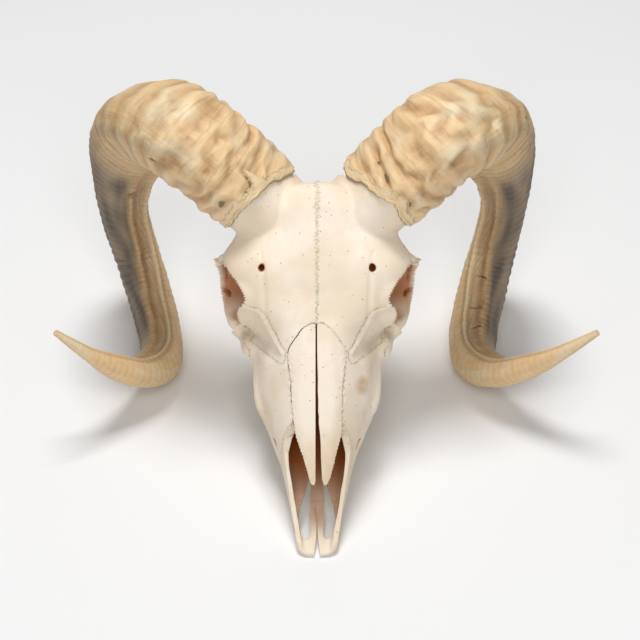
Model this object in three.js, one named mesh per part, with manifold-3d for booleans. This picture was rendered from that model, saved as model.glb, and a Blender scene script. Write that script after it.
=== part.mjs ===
// A ram skull without its lower jaw, with both horn sheaths on, at life size in millimetres.
//
// Every bone is shaped in the skull's own frame: +X is the animal's left, +Y runs back from the tip of
// the nose along the palate, and +Z rises from the palate. The whole skull is then pitched up and set
// down on its nose tip and the two horn curls, with +Z up from the table.
//
// "Face view" is the view square to the line from the nose tip to the top of the nasal bones. A point
// there is given as [x, climb], with climb measured up the face from the nose tip.

import * as THREE from 'three';
import { mergeVertices } from 'three/addons/utils/BufferGeometryUtils.js';
import Module from 'manifold-3d';

const wasm = await Module();
wasm.setup();

// ---- driving dimensions, mm and degrees ----

const PALATE_PITCH = THREE.MathUtils.degToRad(19);   // the palate's rise above the table, towards the back
const FACE_SLOPE = THREE.MathUtils.degToRad(31);     // the face line's rise above the palate
const SUTURE = 0.3;                                  // clear gap between neighbouring bones
const WORN = 0.5;                                    // how deep each resting point is worn flat

// How finely each form is drawn: corners round it, and rings along it.
const AROUND_SKULL = 18;
const RINGS_SKULL = 20;
const AROUND_CAVITY = 8;
const RINGS_CAVITY = 6;
const AROUND_HORN = 12;
const RINGS_HORN = 25;
const BALL_RINGS_SHARE = 0.7;                        // rings in a ball for each of its corners round
const SAME_POINT = 1e-4;                             // vertices nearer than this are one
const SHARPEST_MITRE = 0.5;                          // limits how far a grown outline's corner moves
const NEARLY_UPRIGHT = 0.8;                          // a bar steeper than this turns by another axis

// The skull's outer form at stations along the palate. Each is half a section, from the roof's ridge
// over the brow and the cheek to the gum and back to the middle of the palate.
const SKULL_STATIONS = [
  { y: 0, roof: 6, brow: [4.5, 5.6], cheek: [9, 3], gum: [6, 0.2], palate: 0 },
  { y: 4, roof: 9, brow: [8, 7], cheek: [13.6, 3.6], gum: [10, 0], palate: 0.6 },
  { y: 14, roof: 26, brow: [10, 20], cheek: [14.8, 6.5], gum: [11.5, 0], palate: 1.2 },
  { y: 36, roof: 38.5, brow: [11.5, 34], cheek: [19, 13], gum: [14.5, 0], palate: 2 },
  { y: 60, roof: 52.5, brow: [14.5, 47.5], cheek: [25, 22], gum: [19, 0], palate: 3 },
  { y: 82, roof: 62.5, brow: [16.5, 58], cheek: [33, 24], gum: [24, 0], palate: 4 },
  { y: 105, roof: 71.5, brow: [17.5, 67], cheek: [41, 23], gum: [31, 0], palate: 5 },
  { y: 130, roof: 79, brow: [22, 73.5], cheek: [43, 25], gum: [36, 0], palate: 5 },
  { y: 146, roof: 85, brow: [38, 75], cheek: [45, 34], gum: [36, 3], palate: 6 },
  { y: 160, roof: 92.5, brow: [50, 77.5], cheek: [45, 47], gum: [29, 14], palate: 12 },
  { y: 174, roof: 98.5, brow: [60.5, 82], cheek: [41, 52], gum: [25, 20], palate: 19 },
  { y: 188, roof: 103, brow: [64, 80], cheek: [39, 56], gum: [24, 25], palate: 23 },
  { y: 198, roof: 105.5, brow: [57, 84], cheek: [38, 58], gum: [25, 25], palate: 23 },
  { y: 212, roof: 111, brow: [50, 90], cheek: [37, 60], gum: [26, 25], palate: 21 },
  { y: 226, roof: 110.5, brow: [44, 90], cheek: [37, 58], gum: [26, 24], palate: 19 },
  { y: 239, roof: 92, brow: [37, 77], cheek: [36, 52], gum: [25, 24], palate: 17 },
  { y: 251, roof: 65, brow: [29, 58], cheek: [32, 45], gum: [21, 25], palate: 17 },
  { y: 259, roof: 52, brow: [22, 48], cheek: [25, 40], gum: [16, 27], palate: 19 },
];

// The nasal cavity, open at the front and closed behind the bridge of the nose.
const CAVITY_STATIONS = [
  { y: -6, roof: 24, brow: [8, 22], cheek: [10, 14], gum: [8, 5], palate: 5 },
  { y: 14, roof: 26, brow: [8, 20], cheek: [10.5, 10], gum: [9, 5], palate: 5 },
  { y: 36, roof: 35, brow: [9, 32], cheek: [14.5, 15], gum: [11, 5.5], palate: 5.5 },
  { y: 60, roof: 48.5, brow: [11.5, 44.5], cheek: [20, 22], gum: [14, 6.5], palate: 6.5 },
  { y: 82, roof: 58.5, brow: [13, 54.5], cheek: [20, 26], gum: [15, 8], palate: 8 },
  { y: 105, roof: 67, brow: [13.5, 63], cheek: [18, 32], gum: [13, 10], palate: 10 },
  { y: 124, roof: 72, brow: [11, 68], cheek: [12, 44], gum: [8, 22], palate: 20 },
  { y: 132, roof: 66, brow: [5, 64], cheek: [6, 50], gum: [4, 36], palate: 34 },
];

// The nasal bone's outline in face view, from the middle of the bridge round to the free tip.
const NASAL_OUTLINE = [
  [0.35, 155], [3, 156], [9, 152.5], [14, 146], [18, 140], [19.5, 134], [18.6, 126], [17.3, 115],
  [16.8, 102], [15, 86], [10.5, 71], [6.6, 58], [4, 50.5], [2.4, 49.6], [1.7, 53], [1.1, 84], [0.4, 104],
];
const NASAL_DEPTH = [-9, 40];

// The frontal bone in face view: its front part, and the deeper part that carries the horn.
const FRONTAL_OUTLINE = [
  [SUTURE / 2, 137], [20, 137], [28, 150], [37, 164], [49, 168], [56, 170], [80, 170], [80, 222],
  [SUTURE / 2, 222],
];
const FRONTAL_DEPTH = [-46, 40];
const HORN_ROOT_OUTLINE = [
  [SUTURE / 2, 210], [80, 210], [80, 285], [31, 285], [27, 257], [10, 259], [SUTURE / 2, 258],
];
const HORN_ROOT_DEPTH = [-66, 40];

// The tear bone (lacrimal) in face view.
const LACRIMAL_OUTLINE = [
  [20.4, 137], [23, 129], [35, 136], [49, 146], [80, 156], [80, 170], [56, 170], [49, 168], [37, 164],
  [28, 150],
];
const LACRIMAL_DEPTH = [-34, 40];

// The cheek bone's outline, as [y, z] from the side, and the x it reaches in from.
const CHEEK_OUTLINE = [
  [124, 16], [132, 37], [146, 45], [160, 60], [182, 60], [186, 72], [200, 72], [207, 56], [207, 36],
  [180, 30], [150, 20],
];
const CHEEK_REACH = [46.5, 90];

// The two slots in the front of the palate, and the gap between the two premaxillae, as [x, y] from above.
const PALATE_SLOT = [
  [5, 12], [8, 11.5], [10.6, 15], [12.4, 26], [11.2, 36], [8, 47], [5.2, 56], [4.4, 54], [4.8, 36],
];
const PREMAXILLA_GAP = [
  [0, -9], [2.1, -9], [1.8, 2], [0.6, 13], [SUTURE / 2, 24], [SUTURE / 2, 160], [0, 160],
];
const PALATE_DEPTH = [-40, 40];
const MAXILLA_BACK = 156;

// The side of the nostril opening, as [y, z]: all bone above this line, but the nasals, is cut away.
const NOSTRIL_RIM = [
  [-10, 6], [4, 6], [14, 9], [24, 13], [36, 19.5], [50, 28], [60, 34.5], [67, 42], [72, 51], [75, 57],
  [75, 80], [-10, 80],
];
const NOSTRIL_WIDTH = [-60, 60];

// Where the premaxilla meets the maxilla, as [y, z]: the region in front of the seam.
const PREMAXILLA_REGION = [[-12, -12], [40, -12], [40, 8], [53, 20], [66, 38], [79, 66], [-12, 66]];
const PREMAXILLA_WIDTH = [-90, 90];

// The rim of the left orbit, clockwise from its front: x, y and z of each point.
const ORBIT_RIM = [
  [50, 151, 61], [53, 159, 73], [60.5, 171, 77], [70, 183, 71],
  [71.5, 190, 61], [69, 185, 46], [63.5, 170, 38.5], [57, 156, 44],
];
const ORBIT_RIM_HALF = { across: 2.6, along: 5 };
const ORBIT_RIM_FACES = { around: 5, along: 12 };
const ORBIT_AXIS = [1, -0.35, 0.2];                  // the way that the orbit looks out
const ORBIT_HOOD = { at: [42, 171, 61], half: [25, 25.5, 24], detail: 8 };
const ORBIT_SOCKET = { at: [69, 170, 60], half: [44, 16.5, 18.5], turn: 18, detail: 9 };
const ORBIT_FLOOR = { at: [43, 147, 37], half: [10, 12, 11], detail: 8 };

// The edge of the roof over the orbit in face view: all bone outside it is cut away down to the socket.
const BROW_EDGE = [
  [56, 156], [55.3, 160.5], [53.8, 164.5], [50.4, 168], [48.9, 171], [49.3, 175], [52, 180], [55, 184.5],
  [58.2, 188.5], [62, 194.5], [66, 197], [71, 199], [92, 205], [92, 156],
];
const BROW_DEPTH = [-34, 40];

// Flat bars of bone on edge: x, y, z and half height at points along each.
const CHEEK_BONE = {
  points: [
    [36, 124, 22, 8], [40, 137, 28, 8], [42.5, 143.5, 32, 7.5], [48.5, 149, 36, 7], [56, 155, 38, 6],
    [62, 168, 39.5, 5], [66, 181, 45, 5],
  ],
  halfThick: 4, around: 6, along: 5,
};
const ARCH = {
  points: [[66.5, 183, 46, 5.5], [61, 199, 45, 5.5], [52, 214, 43, 5], [42, 227, 41, 6], [34, 236, 40, 8]],
  halfThick: 3.2, around: 6, along: 5,
};
const JUGULAR_PROCESS = {
  points: [[31, 240, 34, 9], [31, 241, 14, 6], [28, 238, -4, 3], [27, 237, -8, 1.6]],
  halfThick: 3, around: 5, along: 4,
};
const PTERYGOID = {
  points: [[13.5, 147, 6, 9], [13.2, 160, 10, 10.5], [13.5, 173, 17, 8], [14.5, 188, 25, 5]],
  halfThick: 2, around: 5, along: 4,
};

// The cheek teeth, front to back: length along the row, width, and crown height below the gum.
const TEETH = [
  { long: 8, wide: 8, tall: 7 }, { long: 9.5, wide: 10, tall: 9 }, { long: 10, wide: 12, tall: 10.5 },
  { long: 13, wide: 14, tall: 12 }, { long: 16.5, wide: 15, tall: 13 }, { long: 19, wide: 14, tall: 13 },
];
const TOOTH_ROW = { start: 77, frontX: 21.5, backX: 30.5, gap: 0.5 };
// A tooth's outline for half its width and half its length, and its size at shares of its crown's height.
const TOOTH_OUTLINE = [[-1, -0.6], [-1, 0.6], [0, 1], [1, 0.6], [1, -0.6], [0, -1]];
const TOOTH_LEVELS = [{ share: -0.5, size: 1 }, { share: 0.8, size: 0.88 }, { share: 1, size: 0.62 }];

const CONDYLE = { at: [13, 257, 27], half: [9.5, 9, 12.5], detail: 6 };
const BULLA = { at: [20, 223, 17], half: [8, 12, 9], detail: 6 };
const EAR_TUBE = { at: [40, 231, 37], half: [8, 6, 6], detail: 6 };
const NUCHAL_CREST = { at: [0, 254, 52], half: [29, 6.5, 8], detail: 10 };
const FORAMEN_MAGNUM = { at: [0, 268, 37], half: [10, 28, 8.5], detail: 8 };
const CHOANA = { at: [0, 176, 4], half: [9.5, 26, 21], detail: 10 };
// The supraorbital foramen in the brow, and the infraorbital one in the cheek.
const BROW_HOLE = { at: [36.5, 173.5, 88], half: [2.6, 3, 9], turn: 12, tilt: 44, detail: 5 };
const CHEEK_HOLE = { at: [28.5, 72, 25], half: [4, 4.4, 1.8], turn: -20, detail: 5 };

// A horn's centre line, drawn on the left side, with the section's width across the curl, its depth towards
// the curl's middle, and its twist in degrees.
const HORN_STATIONS = [
  { at: [39.0, 226.0, 92.0], wide: 72, deep: 54, twist: 0 },
  { at: [62.0, 237.5, 112.0], wide: 79, deep: 58, twist: 0 },
  { at: [86.0, 251.5, 126.0], wide: 83, deep: 60, twist: 0 },
  { at: [110.5, 269.0, 120.5], wide: 83, deep: 59, twist: -4 },
  { at: [126.5, 278.5, 88.5], wide: 69, deep: 53, twist: -13 },
  { at: [137.5, 283.0, 42.5], wide: 50, deep: 44, twist: -30 },
  { at: [138.5, 277.0, 0.5], wide: 40, deep: 40, twist: -38 },
  { at: [132.5, 262.0, -31.0], wide: 37.5, deep: 39, twist: -26 },
  { at: [124.5, 237.5, -48.0], wide: 36, deep: 39, twist: -9 },
  { at: [116.5, 204.5, -50.5], wide: 34, deep: 38.5, twist: 1 },
  { at: [114.0, 173.0, -37.5], wide: 31, deep: 31.5, twist: 3 },
  { at: [126.0, 152.5, -18.5], wide: 26.5, deep: 23, twist: 0 },
  { at: [141.5, 144.5, 3.5], wide: 20, deep: 18, twist: 0 },
  { at: [158.0, 141.0, 27.0], wide: 11, deep: 10.5, twist: 0 },
  { at: [178.5, 143.5, 52.0], wide: 4, deep: 4, twist: 0 },
];
// How far each horn's centre line lies outside the one above, and how much wider it is, station by station.
const RIGHT_STRAY = {
  out: [0, 0, 0, -1, 0, 1, 2.5, 1.5, 0.5, 0, 0, 0, 0, 0, 0],
  wider: [0, 0, -5, -8, -6, -5, -4.5, -3, -2, -1.5, 0, 3, 0, -2, 0],
};
const LEFT_STRAY = {
  out: [0, 0, -2, -5, -5, -4, -3, -3, -2.5, -1.5, 1, 3, 6, 9, 13],
  wider: [0, 0, -3, -7, -9, -8, -7, -3, 1, 2, 1, 3, 1, 1, 0],
};
const CURL_MIDDLE = [218, 36];                       // y and z that the horn's inner edge points to
// Half a width and half a depth are 1 here: across (away from the skull) and inward (to the curl's middle).
const HORN_SECTION = [
  [0, -1], [0.62, -0.86], [0.95, -0.42], [0.98, 0.1], [0.78, 0.62], [0.42, 0.98], [0.12, 0.83],
  [-0.18, 0.97], [-0.68, 0.72], [-1, 0.02], [-0.94, -0.5], [-0.6, -0.88],
];
const SECTION_AXIS = new THREE.Vector3(0, 0, 1);
const HORN_GAP = 0.3;                                // clearance between a sheath and the bone
const PEDICLE = { share: 0.86, narrowing: 0.1, reach: 46 };   // the bony stump in a sheath

const BONE = { color: 0xe9dcc3, roughness: 0.62, metalness: 0 };
const HORN = { color: 0xb99a68, roughness: 0.5, metalness: 0 };

// ---- making and combining solids ----

/** A manifold solid from a closed three.js geometry, with its faces turned outwards. */
function solid(geometry) {
  const bare = geometry.clone();
  bare.deleteAttribute('normal');
  bare.deleteAttribute('uv');
  const merged = mergeVertices(bare, SAME_POINT);
  const at = merged.attributes.position.array;
  const index = merged.index.array;
  const triangles = [];
  let volume = 0;
  for (let i = 0; i < index.length; i += 3) {
    const [a, b, c] = [index[i], index[i + 1], index[i + 2]];
    if (a === b || b === c || c === a) continue;
    triangles.push(a, b, c);
    const [p, q, r] = [a, b, c].map((n) => new THREE.Vector3().fromArray(at, 3 * n));
    volume += p.dot(q.cross(r));
  }
  if (volume < 0) triangles.reverse();
  const mesh = new wasm.Mesh({
    numProp: 3, vertProperties: new Float32Array(at), triVerts: new Uint32Array(triangles),
  });
  return new wasm.Manifold(mesh);
}

/** The union of many solids. */
function join(...solids) {
  return solids.reduce((whole, next) => whole.add(next));
}

/** The largest connected body of a solid: slivers that a cut leaves behind are dropped. */
function mainBody(whole) {
  return whole.decompose().reduce((best, next) => (next.volume() > best.volume() ? next : best));
}

/** A solid's twin on the other side of the skull. */
function mirrored(one) {
  return one.mirror([1, 0, 0]);
}

/** A solid with its twin. */
function pair(one) {
  return join(one, mirrored(one));
}

/** Joins equal rings of points into one closed solid, by moving the vertices of a cylinder to them. */
function loft(rings) {
  const around = rings[0].length;
  const along = rings.length - 1;
  const geometry = new THREE.CylinderGeometry(1, 1, 1, around, along);
  const position = geometry.attributes.position;
  for (let i = 0; i < position.count; i++) {
    const ring = rings[Math.round((0.5 - position.getY(i)) * along)];
    const [x, z] = [position.getX(i), position.getZ(i)];
    const step = Math.round((Math.atan2(x, z) / (2 * Math.PI)) * around + around) % around;
    const point = Math.hypot(x, z) < 0.5 ? middle(ring) : ring[step];
    position.setXYZ(i, point.x, point.y, point.z);
  }
  return solid(geometry);
}

/** The mean of some points. */
function middle(points) {
  return points.reduce((sum, p) => sum.add(p), new THREE.Vector3()).divideScalar(points.length);
}

/** Reads a table of stations at any place along y, with a smooth curve through every value. */
function stationAt(stations, y) {
  const last = stations.length - 1;
  let i = stations.findIndex((station) => station.y > y) - 1;
  if (i < 0) i = y <= stations[0].y ? 0 : last - 1;
  const rows = [Math.max(i - 1, 0), i, i + 1, Math.min(i + 2, last)].map((n) => stations[n]);
  const t = (y - rows[1].y) / (rows[2].y - rows[1].y);
  const read = (pick) => {
    const [a, b, c, d] = rows.map(pick);
    const gap = rows[2].y - rows[1].y;
    const slope = (from, to, low, high) => (high === low ? 0 : ((to - from) / (high - low)) * gap);
    const leaving = slope(a, c, rows[0].y, rows[2].y);
    const arriving = slope(b, d, rows[1].y, rows[3].y);
    return b * (1 + 2 * t) * (1 - t) ** 2 + leaving * t * (1 - t) ** 2
      + c * t * t * (3 - 2 * t) - arriving * t * t * (1 - t);
  };
  return [
    [0, read((r) => r.roof)],
    ...['brow', 'cheek', 'gum'].map((name) => [read((r) => r[name][0]), read((r) => r[name][1])]),
    [0, read((r) => r.palate)],
  ];
}

/** A closed solid through a table of stations: one smooth ring of points for each place along y. */
function bodyOfStations(stations, around, along) {
  const [front, back] = [stations[0].y, stations[stations.length - 1].y];
  const rings = [];
  for (let i = 0; i <= along; i++) {
    const y = front + ((back - front) * i) / along;
    const half = stationAt(stations, y);
    const outline = [...half, ...half.slice(1, -1).reverse().map(([x, z]) => [-x, z])];
    const curve = new THREE.CatmullRomCurve3(outline.map(([x, z]) => new THREE.Vector3(x, y, z)), true);
    rings.push(Array.from({ length: around }, (_, n) => curve.getPoint(n / around)));
  }
  return loft(rings);
}

/** An ellipsoid, tilted by some degrees about X and then turned about the vertical. */
function ellipsoid({ at, half, turn = 0, tilt = 0, detail }) {
  const ball = new THREE.SphereGeometry(1, detail, Math.round(detail * BALL_RINGS_SHARE));
  ball.scale(...half);
  ball.rotateX(THREE.MathUtils.degToRad(tilt));
  ball.rotateZ(THREE.MathUtils.degToRad(turn));
  ball.translate(...at);
  return solid(ball);
}

/** A flat bar along a curve of [x, y, z, half height], standing on edge. */
function bar({ points, halfThick, around, along }) {
  const path = new THREE.CatmullRomCurve3(points.map(([x, y, z]) => new THREE.Vector3(x, y, z)));
  const tall = new THREE.CatmullRomCurve3(points.map((p, n) => new THREE.Vector3(n, p[3], 0)));
  const rings = [];
  for (let i = 0; i <= along; i++) {
    const t = i / along;
    const tangent = path.getTangent(t);
    const up = Math.abs(tangent.z) > NEARLY_UPRIGHT ? new THREE.Vector3(0, 1, 0) : new THREE.Vector3(0, 0, 1);
    const side = new THREE.Vector3().crossVectors(tangent, up).normalize();
    const rise = new THREE.Vector3().crossVectors(side, tangent).normalize();
    const halfTall = tall.getPoint(t).y;
    rings.push(Array.from({ length: around }, (_, n) => {
      const angle = (2 * Math.PI * n) / around;
      return path.getPoint(t)
        .addScaledVector(side, halfThick * Math.cos(angle))
        .addScaledVector(rise, halfTall * Math.sin(angle));
    }));
  }
  return loft(rings);
}

/** A prism whose outline is [y, z] seen from the side, between two values of x. */
function sidePrism(outline, fromX, toX) {
  return prism(outline, fromX, toX, [0, 1, 0], [0, 0, 1], [1, 0, 0]);
}

/** A prism whose outline is [x, climb] in face view, between two depths off the face line. */
function facePrism(outline, fromDepth, toDepth) {
  const [cos, sin] = [Math.cos(FACE_SLOPE), Math.sin(FACE_SLOPE)];
  return prism(outline, fromDepth, toDepth, [1, 0, 0], [0, cos, sin], [0, -sin, cos]);
}

/** A prism on a flat outline, drawn along the third of three axes. */
function prism(outline, from, to, right, up, out) {
  const shape = new THREE.Shape(outline.map(([x, y]) => new THREE.Vector2(x, y)));
  const geometry = new THREE.ExtrudeGeometry(shape, { depth: to - from, bevelEnabled: false });
  geometry.translate(0, 0, from);
  const [x, y, z] = [right, up, out].map((axis) => new THREE.Vector3(...axis));
  geometry.applyMatrix4(new THREE.Matrix4().makeBasis(x, y, z));
  return solid(geometry);
}

/** An outline moved outwards by a distance, for the gap that a cut leaves. */
function grown(outline, by) {
  const turn = Math.sign(THREE.ShapeUtils.area(outline.map(([x, y]) => new THREE.Vector2(x, y))));
  return outline.map((point, n) => {
    const before = outline[(n + outline.length - 1) % outline.length];
    const after = outline[(n + 1) % outline.length];
    const first = new THREE.Vector2(point[1] - before[1], before[0] - point[0]).normalize();
    const second = new THREE.Vector2(after[1] - point[1], point[0] - after[0]).normalize();
    const lean = first.clone().add(second);
    lean.multiplyScalar((2 * turn * by) / Math.max(lean.lengthSq(), SHARPEST_MITRE));
    return [point[0] + lean.x, point[1] + lean.y];
  });
}

// ---- the bones ----

/** The ring of bone round the left orbit: a torus whose vertices are moved to the rim's own curve. */
function orbitRim() {
  const rim = new THREE.CatmullRomCurve3(ORBIT_RIM.map((p) => new THREE.Vector3(...p)), true);
  const centre = middle(ORBIT_RIM.map((p) => new THREE.Vector3(...p)));
  const { around, along } = ORBIT_RIM_FACES;
  const geometry = new THREE.TorusGeometry(2, 1, around, along);
  const position = geometry.attributes.position;
  const axis = new THREE.Vector3(...ORBIT_AXIS).normalize();
  for (let i = 0; i < position.count; i++) {
    const turn = Math.floor(i % (along + 1)) / along;
    const tube = (2 * Math.PI * Math.floor(i / (along + 1))) / around;
    const point = rim.getPoint(turn % 1);
    const outward = point.clone().sub(centre).projectOnPlane(axis).normalize();
    point.addScaledVector(outward, ORBIT_RIM_HALF.across * (1 + Math.cos(tube)));
    point.addScaledVector(axis, ORBIT_RIM_HALF.along * (Math.sin(tube) - 1));
    position.setXYZ(i, point.x, point.y, point.z);
  }
  return solid(geometry);
}

/** The left row of cheek teeth, each a tapered block that is rooted in the gum. */
function toothRow() {
  const rowLength = TEETH.reduce((sum, tooth) => sum + tooth.long + TOOTH_ROW.gap, 0);
  let y = TOOTH_ROW.start;
  const row = TEETH.map(({ long, wide, tall }) => {
    const share = (y + long / 2 - TOOTH_ROW.start) / rowLength;
    const x = THREE.MathUtils.lerp(TOOTH_ROW.frontX, TOOTH_ROW.backX, Math.sqrt(share));
    const rings = TOOTH_LEVELS.map(({ share: down, size }) => TOOTH_OUTLINE.map(([a, b]) => new THREE.Vector3(
      x + (a * size * wide) / 2, y + long / 2 + (b * size * long) / 2, -down * tall,
    )));
    y += long + TOOTH_ROW.gap;
    return loft(rings);
  });
  return join(...row);
}

/** The stations of one horn, moved and widened as it strays from the common ones. */
function hornStations({ out, wider }) {
  return HORN_STATIONS.map(({ at: [x, y, z], wide, deep, twist }, n) => ({
    at: new THREE.Vector3(x + out[n], y, z),
    wide: wide + wider[n],
    deep,
    twist: THREE.MathUtils.degToRad(twist),
  }));
}

/** A horn's frames along its centre line: place, direction, and its section's axes, twist and size. */
function hornFrames(stations) {
  const line = new THREE.CatmullRomCurve3(stations.map(({ at }) => at));
  const size = new THREE.CatmullRomCurve3(
    stations.map(({ wide, deep, twist }) => new THREE.Vector3(twist, wide / 2, deep / 2)),
  );
  return Array.from({ length: RINGS_HORN + 1 }, (_, n) => {
    const t = line.getUtoTmapping(n / RINGS_HORN);
    const at = line.getPoint(t);
    const ahead = line.getTangent(t);
    const inward = new THREE.Vector3(0, CURL_MIDDLE[0] - at.y, CURL_MIDDLE[1] - at.z)
      .projectOnPlane(ahead).normalize();
    const across = new THREE.Vector3().crossVectors(ahead, inward).normalize();
    const half = size.getPoint(t);
    return { at, ahead, inward, across, twist: half.x, halfWide: half.y, halfDeep: half.z };
  });
}

/** One ring of a horn's section, drawn at a share of its size and grown by a margin. */
function hornRing(frame, share, margin) {
  const section = new THREE.CatmullRomCurve3(HORN_SECTION.map(([a, b]) => new THREE.Vector3(a, b, 0)), true);
  return Array.from({ length: AROUND_HORN }, (_, n) => {
    const { x, y } = section.getPoint(n / AROUND_HORN).applyAxisAngle(SECTION_AXIS, frame.twist);
    return frame.at.clone()
      .addScaledVector(frame.across, x * (frame.halfWide * share + margin))
      .addScaledVector(frame.inward, y * (frame.halfDeep * share + margin));
  });
}

/** A horn sheath on the left side of the skull, or a copy grown by a margin on every side. */
function horn(stations, margin = 0) {
  const frames = hornFrames(stations);
  frames[0].at.addScaledVector(frames[0].ahead, -margin);
  return loft(frames.map((frame) => hornRing(frame, 1, margin)));
}

/** The bony stump that a sheath sits on. */
function pedicle() {
  const base = hornFrames(RIGHT_HORN)[0];
  const rings = [1, 0.5, 0].map((share) => {
    const frame = { ...base, at: base.at.clone().addScaledVector(base.ahead, -PEDICLE.reach * share) };
    return hornRing(frame, PEDICLE.share - PEDICLE.narrowing * share, 0);
  });
  return loft(rings);
}

/** The whole skull as one solid, before it is parted into bones. */
function wholeSkull() {
  const grownSheath = horn(RIGHT_HORN, HORN_GAP);
  const raised = join(
    bodyOfStations(SKULL_STATIONS, AROUND_SKULL, RINGS_SKULL),
    ellipsoid(NUCHAL_CREST),
    pair(join(
      ellipsoid(ORBIT_HOOD), ellipsoid(ORBIT_FLOOR), ellipsoid(CONDYLE), ellipsoid(BULLA),
      ellipsoid(EAR_TUBE), bar(CHEEK_BONE), bar(JUGULAR_PROCESS), pedicle(),
    )),
  );
  const hollow = raised
    .subtract(ellipsoid(CHOANA))
    .subtract(ellipsoid(FORAMEN_MAGNUM))
    .subtract(bodyOfStations(CAVITY_STATIONS, AROUND_CAVITY, RINGS_CAVITY))
    .subtract(pair(join(ellipsoid(ORBIT_SOCKET), ellipsoid(BROW_HOLE), ellipsoid(CHEEK_HOLE))))
    .subtract(pair(facePrism(BROW_EDGE, ...BROW_DEPTH)));
  const added = join(orbitRim(), bar(ARCH), bar(PTERYGOID), toothRow());
  return join(hollow, pair(added)).subtract(pair(grownSheath));
}

/** A prism whose outline is [x, y] seen from above, right through the skull. */
function topPrism(outline) {
  return prism(outline, ...PALATE_DEPTH, [1, 0, 0], [0, 1, 0], [0, 0, 1]);
}

/** Parts the skull into its bones: the left one of each pair, and the braincase. */
function bonesOf(skull) {
  const bones = {};
  let rest = skull;
  const take = (name, makeTool, ...outlines) => {
    const tool = join(...outlines.map((outline) => makeTool(outline.shape, ...outline.span)));
    const wider = join(...outlines.map((outline) => makeTool(grown(outline.shape, SUTURE), ...outline.span)));
    bones[name] = mainBody(rest.intersect(tool));
    rest = rest.subtract(pair(wider));
  };
  take('nasal', facePrism, { shape: NASAL_OUTLINE, span: NASAL_DEPTH });
  rest = rest.subtract(sidePrism(NOSTRIL_RIM, ...NOSTRIL_WIDTH)).subtract(pair(topPrism(PALATE_SLOT)));
  take('frontal', facePrism, { shape: FRONTAL_OUTLINE, span: FRONTAL_DEPTH },
    { shape: HORN_ROOT_OUTLINE, span: HORN_ROOT_DEPTH });
  take('lacrimal', facePrism, { shape: LACRIMAL_OUTLINE, span: LACRIMAL_DEPTH });
  take('cheekbone', sidePrism, { shape: CHEEK_OUTLINE, span: CHEEK_REACH });
  const face = rest.trimByPlane([0, -1, 0], -MAXILLA_BACK).subtract(pair(topPrism(PREMAXILLA_GAP)));
  const leftFace = face.trimByPlane([1, 0, 0], 0);
  const front = sidePrism(PREMAXILLA_REGION, ...PREMAXILLA_WIDTH);
  const frontGrown = sidePrism(grown(PREMAXILLA_REGION, SUTURE), ...PREMAXILLA_WIDTH);
  bones.premaxilla = mainBody(leftFace.intersect(front));
  bones.maxilla = mainBody(leftFace.subtract(frontGrown));
  return { bones, braincase: mainBody(rest.trimByPlane([0, 1, 0], MAXILLA_BACK + SUTURE)) };
}

/** A solid worn flat where it would reach below the level that the skull rests at. */
function worn(one) {
  return one.trimByPlane([0, Math.sin(PALATE_PITCH), Math.cos(PALATE_PITCH)], WORN);
}

/** A manifold solid as a named mesh with its own material. */
function piece(name, body, finish) {
  const mesh = body.getMesh();
  const geometry = new THREE.BufferGeometry();
  geometry.setAttribute('position', new THREE.BufferAttribute(new Float32Array(mesh.vertProperties), 3));
  geometry.setIndex(new THREE.BufferAttribute(new Uint32Array(mesh.triVerts), 1));
  geometry.computeVertexNormals();
  const made = new THREE.Mesh(geometry, new THREE.MeshStandardMaterial(finish));
  made.name = name;
  return made;
}

const RIGHT_HORN = hornStations(RIGHT_STRAY);
const LEFT_HORN = hornStations(LEFT_STRAY);

const { bones, braincase } = bonesOf(wholeSkull());
const skull = new THREE.Group();
skull.rotation.x = PALATE_PITCH;
skull.add(piece('braincase', braincase, BONE));
for (const [name, bone] of Object.entries(bones)) {
  skull.add(piece(`${name}_left`, worn(bone), BONE));
  skull.add(piece(`${name}_right`, worn(mirrored(bone)), BONE));
}
skull.add(piece('horn_left', worn(horn(LEFT_HORN)), HORN));
skull.add(piece('horn_right', worn(mirrored(horn(RIGHT_HORN))), HORN));

// The origin is the middle of the box that the whole skull fills, on the table.
const part = new THREE.Group();
part.add(skull);
const box = new THREE.Box3().setFromObject(part, true);
skull.position.set(-(box.min.x + box.max.x) / 2, -(box.min.y + box.max.y) / 2, -box.min.z);

export default part;
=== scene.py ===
"""The looks of a ram skull with both horn sheaths on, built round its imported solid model.

Bones and horns are drawn in millimetres in the skull's own frame: +X is the animal's left, +Y runs back
from the tip of the nose along the palate, and +Z rises from the palate. Pose puts each finished mesh in the
model's frame, in metres. "Face view" is the view square to the line up the nose: a point there is
(x, climb), with climb measured up the face from the tip of the nose.
"""

import logging
import math
from dataclasses import dataclass
from enum import Enum

import bpy
import numpy as np
from mathutils import Matrix, Vector, noise
from mathutils.bvhtree import BVHTree


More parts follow.
